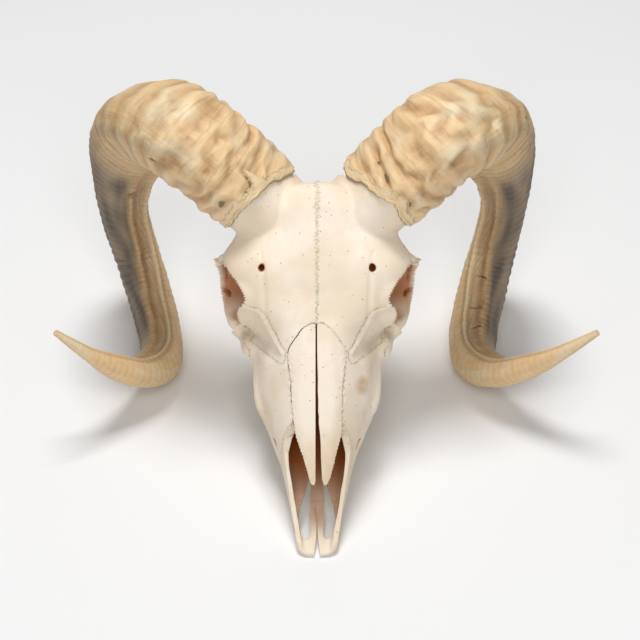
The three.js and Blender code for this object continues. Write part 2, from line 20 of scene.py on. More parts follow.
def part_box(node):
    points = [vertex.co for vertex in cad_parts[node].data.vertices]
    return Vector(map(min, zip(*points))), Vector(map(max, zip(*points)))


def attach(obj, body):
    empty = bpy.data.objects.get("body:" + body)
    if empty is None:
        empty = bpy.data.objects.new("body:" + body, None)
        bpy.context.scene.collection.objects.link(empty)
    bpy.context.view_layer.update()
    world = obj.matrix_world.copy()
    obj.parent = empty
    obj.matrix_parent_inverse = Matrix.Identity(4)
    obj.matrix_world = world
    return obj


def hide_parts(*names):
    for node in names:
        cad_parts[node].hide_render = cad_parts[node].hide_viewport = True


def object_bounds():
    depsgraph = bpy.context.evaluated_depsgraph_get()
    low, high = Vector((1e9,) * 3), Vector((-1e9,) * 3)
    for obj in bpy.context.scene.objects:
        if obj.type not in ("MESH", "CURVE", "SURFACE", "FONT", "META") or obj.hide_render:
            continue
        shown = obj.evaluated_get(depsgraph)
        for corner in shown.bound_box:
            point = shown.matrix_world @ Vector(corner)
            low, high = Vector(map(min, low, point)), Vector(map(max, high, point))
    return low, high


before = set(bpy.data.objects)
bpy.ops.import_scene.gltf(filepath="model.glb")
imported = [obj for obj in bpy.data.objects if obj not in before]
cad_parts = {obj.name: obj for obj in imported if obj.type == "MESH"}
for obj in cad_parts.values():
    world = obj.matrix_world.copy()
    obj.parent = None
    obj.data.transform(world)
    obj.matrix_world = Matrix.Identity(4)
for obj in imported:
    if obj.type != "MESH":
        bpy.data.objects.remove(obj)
CAD_BOX = [list(corner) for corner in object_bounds()]

log = logging.getLogger("ram_skull")
MM = 0.001
FACE_SLOPE = math.radians(31)
FACE_UP = np.array([0.0, math.cos(FACE_SLOPE), math.sin(FACE_SLOPE)])
FACE_OUT = np.array([0.0, -math.sin(FACE_SLOPE), math.cos(FACE_SLOPE)])
# The two axes of a plane, and the axis that it is seen along.
FACE_AXES = np.array([[1.0, 0, 0], FACE_UP, FACE_OUT])
SIDE_AXES = np.array([[0.0, 1, 0], [0, 0, 1], [1, 0, 0]])
TOP_AXES = np.array([[1.0, 0, 0], [0, 1, 0], [0, 0, 1]])
# Each side's name, and whether it is the right one.
SIDES = (("left", False), ("right", True))
# Two points of a curve that are nearer than this count as one.
SAME_PLACE = 1e-4
# How far apart the random values of two seeds lie in the noise.
SEED_STEP = np.array([17.3, 5.1, 9.7])


class Cut(Enum):
    """How a tool acts on a piece."""

    AWAY = "DIFFERENCE"
    KEEP = "INTERSECT"
    ADD = "UNION"


class View(Enum):
    """The way that a stroke is looked at while it is drawn."""

    FACE = "face"
    SIDE = "side"
    UNDER = "under"
    BACK = "back"


# ---- curves and tables ----


def through(points: np.ndarray, at: np.ndarray, closed: bool = False) -> np.ndarray:
    """Reads a smooth curve that passes through every point, with no overshoot at short spans.

    Args:
        points: One row for each point.
        at: Places along the curve, from 0 to 1, evenly shared among the spans.
        closed: Whether the curve runs back to its first point.

    Returns:
        One row for each place.
    """
    points = np.asarray(points, float)
    count = len(points)
    spans = count if closed else count - 1
    place = np.clip(np.asarray(at, float), 0, 1) * spans
    first = np.minimum(np.floor(place).astype(int), spans - 1)
    share = (place - first)[:, None]
    if closed:
        p0, p1, p2, p3 = (points[(first + k) % count] for k in (-1, 0, 1, 2))
    else:
        long = np.vstack([2 * points[0] - points[1], points, 2 * points[-1] - points[-2]])
        p0, p1, p2, p3 = (long[first + k] for k in (0, 1, 2, 3))
    pairs = ((p0, p1), (p1, p2), (p2, p3))
    gaps = [np.sqrt(np.linalg.norm(b - a, axis=1, keepdims=True)) for a, b in pairs]
    g1 = np.where(gaps[1] < SAME_PLACE, 1.0, gaps[1])
    g0 = np.where(gaps[0] < SAME_PLACE, g1, gaps[0])
    g2 = np.where(gaps[2] < SAME_PLACE, g1, gaps[2])
    leave = ((p1 - p0) / g0 - (p2 - p0) / (g0 + g1) + (p2 - p1) / g1) * g1
    arrive = ((p2 - p1) / g1 - (p3 - p1) / (g1 + g2) + (p3 - p2) / g2) * g1
    return (
        p1 + leave * share
        + (3 * (p2 - p1) - 2 * leave - arrive) * share**2
        + (2 * (p1 - p2) + leave + arrive) * share**3
    )


def run_along(line: np.ndarray) -> np.ndarray:
    """How far along a line each of its points lies."""
    return np.concatenate([[0], np.cumsum(np.linalg.norm(np.diff(line, axis=0), axis=1))])


def heading(line: np.ndarray) -> np.ndarray:
    """The unit direction of a line at each of its points."""
    ahead = np.gradient(line, axis=0)
    return ahead / np.linalg.norm(ahead, axis=1, keepdims=True)


def even(points: np.ndarray, step: float, closed: bool = False) -> np.ndarray:
    """Points at equal steps along the smooth curve through some points."""
    per_point = 60
    fine = through(points, np.linspace(0, 1, per_point * len(points)), closed)
    run = run_along(fine)
    places = np.linspace(0, run[-1], max(3, int(run[-1] / step)))
    return np.stack([np.interp(places, run, fine[:, k]) for k in range(fine.shape[1])], 1)


def read_table(table: np.ndarray, at: np.ndarray) -> np.ndarray:
    """Reads a table's other columns at places along its first one, with a smooth curve through each value."""
    keys, values = table[:, 0], table[:, 1:]
    i = np.clip(np.searchsorted(keys, at, side="right") - 1, 0, len(keys) - 2)
    a, d = np.maximum(i - 1, 0), np.minimum(i + 2, len(keys) - 1)
    gap = (keys[i + 1] - keys[i])[:, None]
    t = (at - keys[i])[:, None] / gap
    leave = (values[i + 1] - values[a]) / (keys[i + 1] - keys[a])[:, None] * gap
    arrive = (values[d] - values[i]) / (keys[d] - keys[i])[:, None] * gap
    return (
        values[i] * (1 + 2 * t) * (1 - t) ** 2 + leave * t * (1 - t) ** 2
        + values[i + 1] * t * t * (3 - 2 * t) - arrive * t * t * (1 - t)
    )


def smooth_step(low: float, high: float, value: np.ndarray) -> np.ndarray:
    """0 below low, 1 above high, and a soft rise between them."""
    t = np.clip((value - low) / (high - low), 0, 1)
    return t * t * (3 - 2 * t)


def wander(points: np.ndarray, size: float, seed: float) -> np.ndarray:
    """Smooth random values from -1 to 1 at some points, whose bumps are about size across."""
    shifted = points / size + seed * SEED_STEP
    return np.array([noise.noise(p) for p in shifted.tolist()])


def face_points(points: np.ndarray) -> np.ndarray:
    """Points as (x, climb, height off the face line)."""
    return np.stack([points[:, 0], points @ FACE_UP, points @ FACE_OUT], 1)


# ---- meshes ----


def only(*pieces: bpy.types.Object) -> None:
    """Selects these objects and nothing else, and makes the first one active."""
    bpy.ops.object.select_all(action="DESELECT")
    for piece in pieces:
        piece.select_set(True)
    bpy.context.view_layer.objects.active = pieces[0]


def get_points(piece: bpy.types.Object) -> np.ndarray:
    """The places of a mesh's vertices."""
    found = np.empty(len(piece.data.vertices) * 3, np.float32)
    piece.data.vertices.foreach_get("co", found)
    return found.reshape(-1, 3).astype(float)


def set_points(piece: bpy.types.Object, points: np.ndarray) -> None:
    """Moves a mesh's vertices."""
    piece.data.vertices.foreach_set("co", points.astype(np.float32).ravel())
    piece.data.update()


def get_normals(piece: bpy.types.Object) -> np.ndarray:
    """The direction that the surface faces at each vertex."""
    found = np.empty(len(piece.data.vertices) * 3, np.float32)
    piece.data.vertex_normals.foreach_get("vector", found)
    return found.reshape(-1, 3).astype(float)


def face_outwards(piece: bpy.types.Object) -> None:
    """Turns every face of a closed mesh outwards."""
    only(piece)
    bpy.ops.object.mode_set(mode="EDIT")
    bpy.ops.mesh.select_all(action="SELECT")
    bpy.ops.mesh.normals_make_consistent(inside=False)
    bpy.ops.object.mode_set(mode="OBJECT")


def change_side(piece: bpy.types.Object) -> None:
    """Moves a piece to the other side of the skull, with its faces still outwards."""
    piece.data.transform(Matrix.Diagonal((-1, 1, 1, 1)))
    piece.data.flip_normals()


def write_mark(piece: bpy.types.Object, name: str, values: np.ndarray) -> None:
    """Stores a number, or three, for each vertex, which a finish reads by name."""
    many = values.ndim == 2
    held = piece.data.attributes.new(name, "FLOAT_VECTOR" if many else "FLOAT", "POINT")
    held.data.foreach_set("vector" if many else "value", values.astype(np.float32).ravel())


def loft(name: str, rings: np.ndarray, marks: dict[str, np.ndarray] | None = None) -> bpy.types.Object:
    """A closed surface through equal rings of points, made of a sphere whose vertices are moved to them.

    Args:
        name: The new object's name.
        rings: Points by ring, place in the ring, and axis.
        marks: Values to store at each ring and place, by name.

    Returns:
        The new object.
    """
    count, around = rings.shape[:2]
    bpy.ops.object.select_all(action="DESELECT")
    bpy.ops.mesh.primitive_uv_sphere_add(segments=around, ring_count=count + 1, radius=1, calc_uvs=False)
    piece = bpy.context.object
    piece.name = name
    x, y, z = get_points(piece).T
    level = np.rint(np.arctan2(np.hypot(x, y), z) / math.pi * (count + 1)).astype(int)
    step = np.rint(np.arctan2(y, x) / (2 * math.pi) * around).astype(int) % around
    ring = np.clip(level - 1, 0, count - 1)
    placed = rings[ring, step]
    placed[level == 0] = rings[0].mean(0)
    placed[level == count + 1] = rings[-1].mean(0)
    set_points(piece, placed)
    for mark, values in (marks or {}).items():
        write_mark(piece, mark, values[ring, step])
    face_outwards(piece)
    return piece


def ball(at: tuple, half: tuple, turn: float = 0.0, tilt: float = 0.0) -> bpy.types.Object:
    """An ellipsoid, tilted by some degrees about X and then turned about the vertical."""
    around = 36
    bpy.ops.object.select_all(action="DESELECT")
    bpy.ops.mesh.primitive_uv_sphere_add(segments=around, ring_count=around // 2, radius=1, calc_uvs=False)
    piece = bpy.context.object
    turned = Matrix.Rotation(math.radians(turn), 4, "Z") @ Matrix.Rotation(math.radians(tilt), 4, "X")
    piece.data.transform(Matrix.Translation(at) @ turned @ Matrix.Diagonal((*half, 1)))
    return piece


def bar(points: list, half_thick: float) -> bpy.types.Object:
    """A rounded flat bar along a curve of (x, y, z, half height), standing on edge."""
    around, along = 24, 40
    table = np.array(points, float)
    places = np.linspace(0, 1, along)
    line = through(table[:, :3], places)
    numbers = np.arange(len(table))
    tall = through(np.column_stack([numbers, table[:, 3], 0 * numbers]), places)[:, 1]
    ahead = heading(line)
    # A stretch that climbs steeply stands on edge along Y instead of Z.
    steep = 0.8
    up = np.where(np.abs(ahead[:, 2:]) > steep, [0.0, 1.0, 0.0], [0.0, 0.0, 1.0])
    side = np.cross(ahead, up)
    side /= np.linalg.norm(side, axis=1, keepdims=True)
    rise = np.cross(side, ahead)
    angle = np.linspace(0, 2 * math.pi, around, endpoint=False)
    # It keeps its size along most of its length, and is rounded off at its ends.
    blunt, least = 14, 0.05
    ends = np.sqrt(np.clip(1 - np.abs(places * 2 - 1) ** blunt, least, 1))[:, None, None]
    rings = line[:, None] + ends * (
        half_thick * np.cos(angle)[None, :, None] * side[:, None]
        + tall[:, None, None] * np.sin(angle)[None, :, None] * rise[:, None]
    )
    return loft("bar", rings)


def mirrored(piece: bpy.types.Object) -> bpy.types.Object:
    """A copy of a piece on the other side of the skull."""
    only(piece)
    bpy.ops.object.duplicate()
    twin = bpy.context.object
    twin.data.transform(Matrix.Diagonal((-1, 1, 1, 1)))
    face_outwards(twin)
    return twin


def joined(name: str, *pieces: bpy.types.Object) -> bpy.types.Object:
    """Puts several meshes in one object."""
    only(*pieces)
    if len(pieces) > 1:
        bpy.ops.object.join()
    made = bpy.context.object
    made.name = name
    return made


def drop(*pieces: bpy.types.Object) -> None:
    """Removes objects that were only tools."""
    for piece in pieces:
        bpy.data.objects.remove(piece)


def use_modifier(piece: bpy.types.Object, kind: str, **settings: object) -> None:
    """Adds a modifier with its settings and applies it at once."""
    only(piece)
    modifier = piece.modifiers.new(kind.lower(), kind)
    for name, value in settings.items():
        setattr(modifier, name, value)
    bpy.ops.object.modifier_apply(modifier=modifier.name)


def cut(piece: bpy.types.Object, tool: bpy.types.Object, how: Cut) -> bpy.types.Object:
    """Cuts a piece with a tool, and keeps the tool."""
    before = len(piece.data.vertices)
    use_modifier(piece, "BOOLEAN", operation=how.value, solver="MANIFOLD", object=tool)
    if len(piece.data.vertices) in (0, before):
        log.info("%s with %s: exact solver", piece.name, tool.name)
        if len(piece.data.vertices):
            use_modifier(piece, "BOOLEAN", operation=how.value, solver="EXACT", object=tool)
    return piece


def copied(piece: bpy.types.Object, name: str) -> bpy.types.Object:
    """A copy of a piece with its own mesh."""
    only(piece)
    bpy.ops.object.duplicate()
    twin = bpy.context.object
    twin.name = name
    return twin


def main_body(piece: bpy.types.Object) -> bpy.types.Object:
    """Drops all but the largest connected body, because a cut leaves slivers behind."""
    name = piece.name
    only(piece)
    bpy.ops.object.mode_set(mode="EDIT")
    bpy.ops.mesh.select_all(action="SELECT")
    bpy.ops.mesh.separate(type="LOOSE")
    bpy.ops.object.mode_set(mode="OBJECT")
    parts = sorted(bpy.context.selected_objects, key=lambda part: len(part.data.vertices))
    drop(*parts[:-1])
    parts[-1].name = name
    return parts[-1]


def prism(name: str, outline: np.ndarray, low: float, high: float, axes: np.ndarray) -> bpy.types.Object:
    """A prism on a flat outline.

    Args:
        name: The new object's name.
        outline: The outline's corners in its own plane.
        low: Where it starts, along the third axis.
        high: Where it ends.
        axes: The plane's two axes and the axis it is drawn along, as rows.

    Returns:
        The new object.
    """
    bpy.ops.object.select_all(action="DESELECT")
    bpy.ops.mesh.primitive_circle_add(vertices=len(outline), radius=1, fill_type="NGON")
    piece = bpy.context.object
    piece.name = name
    flat = outline[:, :1] * axes[0] + outline[:, 1:2] * axes[1]
    set_points(piece, flat + low * axes[2])
    bpy.ops.object.mode_set(mode="EDIT")
    bpy.ops.mesh.select_all(action="SELECT")
    bpy.ops.mesh.extrude_region_move(TRANSFORM_OT_translate={"value": tuple((high - low) * axes[2])})
    bpy.ops.object.mode_set(mode="OBJECT")
    face_outwards(piece)
    return piece


def side_prisms(outlines: list, right: bool, axes: np.ndarray) -> list[bpy.types.Object]:
    """Prisms for the left side, or for the right: each outline comes with where it starts and ends."""
    made = []
    for corners, low, high in outlines:
        tool = prism("tool", corners, low, high, axes)
        if right:
            change_side(tool)
        made.append(tool)
    return made


@dataclass(frozen=True)
class Suture:
    """The toothed edge where two bones meet: how deep and how long its teeth are, in millimetres."""

    depth: float
    period: float
    seed: int

    def teeth(self, run: np.ndarray) -> np.ndarray:
        """How far the edge strays to one side at each place along its run."""
        random = np.random.default_rng(self.seed)
        count = int(run[-1] / self.period * 2) + 4
        knots = np.cumsum(self.period / 2 * random.uniform(0.55, 1.45, count))
        sides = np.where(np.arange(count) % 2, 1, -1) * random.uniform(0.35, 1.0, count)
        ends = np.clip(np.minimum(run, run[-1] - run) / 2, 0, 1)
        return self.depth * ends * np.interp(run, knots, sides)


@dataclass(frozen=True)
class Edge:
    """A bone's outline: the seam that shows, as a smooth toothed curve, and the corners that close it."""

    seam: tuple
    closing: tuple
    suture: Suture
    # How long the stretches are where the seam stands more open or less.
    stretch: float = 5.0

    def outline(self, gap: float, step: float = 0.5) -> np.ndarray:
        """The outline's corners, with its seam moved outwards by a gap."""
        line = even(np.array(self.seam, float), step)
        closing = np.array(self.closing, float)
        run = run_along(line)
        ahead = heading(line)
        out = np.stack([ahead[:, 1], -ahead[:, 0]], 1)
        x, y = np.vstack([line, closing]).T
        if np.sum(x * np.roll(y, -1) - np.roll(x, -1) * y) < 0:
            out = -out
        uneven = wander(np.column_stack([run, 0 * run, 0 * run]), self.stretch, self.suture.seed)
        open_share = np.clip(0.55 + 1.3 * uneven, 0.12, 1.3)
        moved = line + out * (self.suture.teeth(run) + gap * open_share)[:, None]
        return np.vstack([moved, closing])


@dataclass(frozen=True)
class Pose:
    """Where the skull's own frame stands in the model's frame, in metres."""

    origin: tuple
    pitch: float = math.radians(19)
    # How far the tip of the nose reaches ahead of the skull's own origin, and how low that origin lies.
    nose_reach: float = 1.631 * MM
    drop: float = 0.5 * MM
    # How far the looks stay inside the solid model's box.
    margin: float = 0.05 * MM

    @classmethod
    def of_model(cls) -> "Pose":
        """Finds the skull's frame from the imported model's own boxes."""
        left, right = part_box("nasal_left"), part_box("nasal_right")
        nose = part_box("premaxilla_left")[0].y
        return cls(((left[0].x + right[1].x) / 2, nose + cls.nose_reach, -cls.drop))

    def settle(self, piece: bpy.types.Object) -> None:
        """Puts a finished mesh in the model's frame, in metres, and keeps it inside the model's box."""
        c, s = math.cos(self.pitch), math.sin(self.pitch)
        x, y, z = (get_points(piece) * MM).T
        placed = np.stack([x, y * c - z * s, y * s + z * c], 1) + np.array(self.origin)
        low, high = np.array(CAD_BOX)
        set_points(piece, np.clip(placed, low + self.margin, high - self.margin))


# ---- finishes ----


def colour(hex_code: str) -> tuple[float, float, float, float]:
    """A linear colour from an sRGB hex code."""
    parts = [int(hex_code[k : k + 2], 16) / 255 for k in (1, 3, 5)]
    return (*(p / 12.92 if p <= 0.04045 else ((p + 0.055) / 1.055) ** 2.4 for p in parts), 1.0)


def per_mm(size: float) -> float:
    """A texture's scale whose cells are some millimetres across."""
    return 1 / (size * MM)


def add(
    tree: bpy.types.NodeTree, kind: str, inputs: dict | None = None, **settings: object
) -> bpy.types.Node:
    """Adds a node with its settings, its fixed inputs and its links.

    Args:
        tree: The tree it goes in.
        kind: The node's type.
        inputs: Values or output sockets by input name or number.
        settings: The node's own properties.

    Returns:
        The new node.
    """
    made = tree.nodes.new(kind)
    for name, value in settings.items():
        setattr(made, name, value)
    for socket, value in (inputs or {}).items():
        if isinstance(value, bpy.types.NodeSocket):
            tree.links.new(value, made.inputs[socket])
        else:
            made.inputs[socket].default_value = value
    return made


@dataclass(frozen=True)
class Layer:
    """A colour laid over the last where a grain is strong and, if it has a mark, where that is strong too."""

    tone: str
    mark: str = ""
    grain: str = "fine"
    low: float = 0.0
    high: float = 0.01
    share: float = 1.0

    def lay(self, tree: bpy.types.NodeTree, under: object, grains: dict) -> bpy.types.NodeSocket:
        """Lays this colour over another.

        Args:
            tree: The tree the nodes go in.
            under: The colour below it.
            grains: The material's grains by name.

        Returns:
            The colour with this layer on it.
        """
        span = {"Value": grains[self.grain], "From Min": self.low, "From Max": self.high}
        span["To Max"] = self.share
        amount = add(tree, "ShaderNodeMapRange", span, interpolation_type="SMOOTHSTEP").outputs["Result"]
        if self.mark:
            mark = add(tree, "ShaderNodeAttribute", attribute_name=self.mark).outputs["Fac"]
            amount = add(tree, "ShaderNodeMath", {0: amount, 1: mark}, operation="MULTIPLY").outputs["Value"]
        inputs = {0: amount, 6: under, 7: colour(self.tone)}
        return add(tree, "ShaderNodeMix", inputs, data_type="RGBA").outputs[2]


def start_material(name: str) -> bpy.types.Material:
    """A new material with an empty tree."""
    made = bpy.data.materials.new(name)
    made.use_nodes = True
    made.node_tree.nodes.clear()
    return made


@dataclass(frozen=True)
class Bone:
    """Cleaned and bleached bone: dry collagen and mineral, chalky and almost matt.

    It is creamy white and yellower where fat has stayed in, with a little painted shade yellowing its
    recesses.
    It is brown in its hollows, partly where dried tissue is left and partly as painted shade in recesses,
    orbits and holes; it is painted greyer as shade in the hollow by the tear bone, and it has fine pores
    where vessels went in.
    """

    name: str = "bleached_bone"
    light: str = "#fceedd"
    # How each grain is made: its size in millimetres, its detail and its roughness. Chalk only roughens.
    grains: tuple = (
        ("patch", 38, 3, 0.5), ("cloud", 11, 3, 0.5), ("mottle", 6, 4, 0.6), ("fine", 1.5, 3, 0.7),
        ("chalk", 0.9, 4, 0.65),
    )
    layers: tuple = (
        Layer("#f2e0c7", grain="patch", low=0.36, high=0.66),
        Layer("#ecdabd", grain="mottle", low=0.5, high=0.75, share=0.3),
        # Yellower where fat stayed in, and a little in recesses as painted shade.
        Layer("#dcbf92", mark="fat_and_recess_shade", grain="mottle", low=0.1, high=0.6),
        # Greyer in the hollow by the tear bone as painted shade, with dark pores there.
        Layer("#b1a38a", mark="pores_and_fossa_shade", grain="cloud", low=-0.3, high=0.7, share=0.7),
        Layer("#84694b", mark="pores_and_fossa_shade", grain="pit", high=1.0, share=0.4),
        Layer("#9a7850", grain="speck", high=1.0, share=0.7),
        Layer("#a98155", mark="seam", grain="fine", low=0.42, high=0.62),
        Layer("#c8a06a", mark="stain", grain="mottle", low=0.1, high=0.6),
        # Brown in the hollows: partly dried tissue, and partly painted shade in recesses, orbits and holes.
        Layer("#b0682f", mark="deep", grain="mottle", low=-0.6, high=0.35),
    )
    # Each kind of pore: its spacing in millimetres, and the shares of that where its edge and its floor lie.
    pores: tuple = (("pit", 1.7, 0.30, 0.14), ("speck", 5.8, 0.105, 0.06))

    def material(self) -> bpy.types.Material:
        """Builds the finish's material."""
        made = start_material(self.name)
        tree = made.node_tree
        place = add(tree, "ShaderNodeTexCoord").outputs["Object"]
        grains = {}
        for name, size, detail, rough in self.grains:
            inputs = {"Vector": place, "Scale": per_mm(size), "Detail": detail, "Roughness": rough}
            grains[name] = add(tree, "ShaderNodeTexNoise", inputs).outputs["Fac"]
        for name, size, wide, deep in self.pores:
            cells = add(tree, "ShaderNodeTexVoronoi", {"Vector": place, "Scale": per_mm(size)})
            span = {"Value": cells.outputs["Distance"], "From Min": wide, "From Max": deep}
            grains[name] = add(tree, "ShaderNodeMapRange", span).outputs["Result"]
        tone = colour(self.light)
        for layer in self.layers:
            tone = layer.lay(tree, tone, grains)
        pores_and_fossa_shade = add(tree, "ShaderNodeAttribute", attribute_name="pores_and_fossa_shade").outputs["Fac"]
        dents = add(tree, "ShaderNodeMath", {0: grains["pit"], 1: pores_and_fossa_shade}, operation="MULTIPLY")
        inputs = {0: grains["chalk"], 1: dents.outputs["Value"]}
        rise = add(tree, "ShaderNodeMath", inputs, operation="SUBTRACT").outputs["Value"]
        bump = add(tree, "ShaderNodeBump", {"Height": rise, "Strength": 0.4, "Distance": 0.3 * MM})
        skin = add(
            tree, "ShaderNodeBsdfPrincipled",
            {"Base Color": tone, "Roughness": 0.6, "Normal": bump.outputs["Normal"], "IOR": 1.5,
             "Specular IOR Level": 0.35, "Subsurface Weight": 0.12, "Subsurface Scale": 3 * MM},
        )
        add(tree, "ShaderNodeOutputMaterial", {"Surface": skin.outputs["BSDF"]})
        return made


@dataclass(frozen=True)
class Enamel:
    """Tooth enamel and dentine of an old grazing animal: hard and cream, browner near the gum and at the
    crowns of the big teeth.
    """

    name: str = "tooth_enamel"
    light: str = "#e9dcc0"
    layers: tuple = (
        Layer("#b59468", grain="cloud", low=0.45, high=0.75, share=0.7),
        Layer("#6d4d30", mark="deep", grain="cloud", low=0.2, high=0.7),
    )
    stain_mm: float = 4.0

    def material(self) -> bpy.types.Material:
        """Builds the finish's material."""
        made = start_material(self.name)
        tree = made.node_tree
        place = add(tree, "ShaderNodeTexCoord").outputs["Object"]
        inputs = {"Vector": place, "Scale": per_mm(self.stain_mm), "Detail": 4.0}
        grains = {"cloud": add(tree, "ShaderNodeTexNoise", inputs).outputs["Fac"]}
        tone = colour(self.light)
        for layer in self.layers:
            tone = layer.lay(tree, tone, grains)
        bump = add(tree, "ShaderNodeBump", {"Height": grains["cloud"], "Strength": 0.3, "Distance": 0.3 * MM})
        skin = add(
            tree, "ShaderNodeBsdfPrincipled",
            {"Base Color": tone, "Roughness": 0.32, "Normal": bump.outputs["Normal"], "IOR": 1.6},
        )
        add(tree, "ShaderNodeOutputMaterial", {"Surface": skin.outputs["BSDF"]})
        return made


@dataclass(frozen=True)
class Keratin:
    """A ram's horn sheath: dry keratin grown in rings, satin on its ridges and dull in its furrows.

    It is straw yellow where it is rubbed, painted brown in its furrows and darker in the trough beside its
    inner ridge as shade, and slate grey along the side that has the most pigment.
    """

    name: str = "horn_keratin"
    light: str = "#f3d09e"
    # How each grain is made: its size in millimetres, its stretch along and round the sheath, and its detail.
    grains: tuple = (
        ("patch", 20, 1, 1, 4), ("fine", 5, 1, 1, 4), ("growth", 1.9, 1, 0.09, 3), ("rings", 6.5, 1, 0.14, 3),
        ("fibre", 1.3, 0.06, 1, 4),
    )
    layers: tuple = (
        Layer("#f6e3bd", grain="patch", low=0.42, high=0.68),
        Layer("#c79c66", mark="young", grain="rings", low=0.5, high=0.72, share=0.45),
        Layer("#bf9c69", mark="tan", grain="fine", low=-0.4, high=0.5, share=0.8),
        Layer("#9c8a63", mark="olive", grain="patch", low=0.1, high=0.7, share=0.8),
        Layer("#a06c3a", mark="amber", grain="growth", low=0.1, high=0.7),
        # Painted shade in the trough between the inner edge and the inner ridge.
        Layer("#86705a", mark="groove_shade", grain="fibre", low=0.1, high=0.7),
        Layer("#77593a", mark="tan", grain="fibre", low=0.5, high=0.72),
        Layer("#f3dfba", grain="fibre", low=0.5, high=0.72, share=0.28),
        Layer("#58514a", mark="slate", grain="patch", low=-0.1, high=0.4),
        # Painted shade: brown in the furrows between the swellings.
        Layer("#a8743f", mark="furrow_shade", grain="fine", low=-0.2, high=0.7, share=0.8),
        Layer("#8f6539", mark="furrow_shade", grain="growth", low=0.45, high=0.7, share=0.3),
        Layer("#8a6238", mark="young", grain="growth", low=0.52, high=0.78, share=0.32),
        Layer("#f1dab0", mark="pale", grain="fibre", low=-0.2, high=0.5),
        # Dark: thin cracks, the creases beside the edge and ridge, the torn edge, and painted shade inside
        # the hollow foot.
        Layer("#4e3a28", mark="dark", grain="fine", low=0.05, high=0.5),
    )
    # How much the fibres raise the surface beside the growth lines.
    fibre_share: float = 0.9
    rough: float = 0.58

    def material(self) -> bpy.types.Material:
        """Builds the finish's material. Its grains follow the sheath: X runs along it, Y and Z round it."""
        made = start_material(self.name)
        tree = made.node_tree
        place = add(tree, "ShaderNodeAttribute", attribute_name="sheath").outputs["Vector"]
        grains = {}
        for name, size, along, about, detail in self.grains:
            turned = add(tree, "ShaderNodeMapping", {"Vector": place, "Scale": (along, about, about)})
            turned = turned.outputs["Vector"]
            inputs = {"Vector": turned, "Scale": per_mm(size), "Detail": detail, "Roughness": self.rough}
            grains[name] = add(tree, "ShaderNodeTexNoise", inputs).outputs["Fac"]
        tone = colour(self.light)
        for layer in self.layers:
            tone = layer.lay(tree, tone, grains)
        young = add(tree, "ShaderNodeAttribute", attribute_name="young").outputs["Fac"]
        across = add(tree, "ShaderNodeMath", {0: grains["growth"], 1: young}, operation="MULTIPLY")
        inputs = {0: grains["fibre"], 1: self.fibre_share, 2: across.outputs["Value"]}
        rise = add(tree, "ShaderNodeMath", inputs, operation="MULTIPLY_ADD").outputs["Value"]
        bump = add(tree, "ShaderNodeBump", {"Height": rise, "Strength": 0.8, "Distance": 0.9 * MM})
        span = {"Value": grains["fine"], "To Min": 0.38, "To Max": 0.6}
        dull = add(tree, "ShaderNodeMapRange", span).outputs["Result"]
        skin = add(
            tree, "ShaderNodeBsdfPrincipled",
            {"Base Color": tone, "Roughness": dull, "Normal": bump.outputs["Normal"], "IOR": 1.55,
             "Specular IOR Level": 0.45},
        )
        add(tree, "ShaderNodeOutputMaterial", {"Surface": skin.outputs["BSDF"]})
        return made


@dataclass(frozen=True)
class Paper:
    """A matt white paper backdrop, which shows nothing but soft shadows."""

    name: str = "paper"
    white: str = "#f4f4f4"

    def material(self) -> bpy.types.Material:
        """Builds the finish's material."""
        made = bpy.data.materials.new(self.name)
        made.use_nodes = True
        skin = made.node_tree.nodes["Principled BSDF"]
        skin.inputs["Base Color"].default_value = colour(self.white)
        skin.inputs["Roughness"].default_value = 0.95
        skin.inputs["Specular IOR Level"].default_value = 0.1
        return made


def finish_piece(
    piece: bpy.types.Object, finish: bpy.types.Material, nodes: tuple, sharp: float
) -> None:
    """Dresses a piece, hangs it under the root, and hides the model's nodes that it stands for.

    Args:
        piece: The finished mesh, in the model's frame.
        finish: Its material.
        nodes: The model's nodes that it stands for.
        sharp: The angle in degrees below which its shading is smooth.
    """
    only(piece)
    piece.data.materials.clear()
    piece.data.materials.append(finish)
    bpy.ops.object.shade_smooth_by_angle(angle=math.radians(sharp))
    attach(piece, "root")
    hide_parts(*nodes)
    log.info("%s: %d triangles", piece.name, sum(len(face.vertices) - 2 for face in piece.data.polygons))


# ---- the horns ----


@dataclass(frozen=True)
class Scar:
    """A hole, crack or flaked patch in a sheath, at a length along it and a place round it."""

    at: tuple
    half_along: float
    half_about: float
    depth: float
    mark: str
    strength: float = 0.9


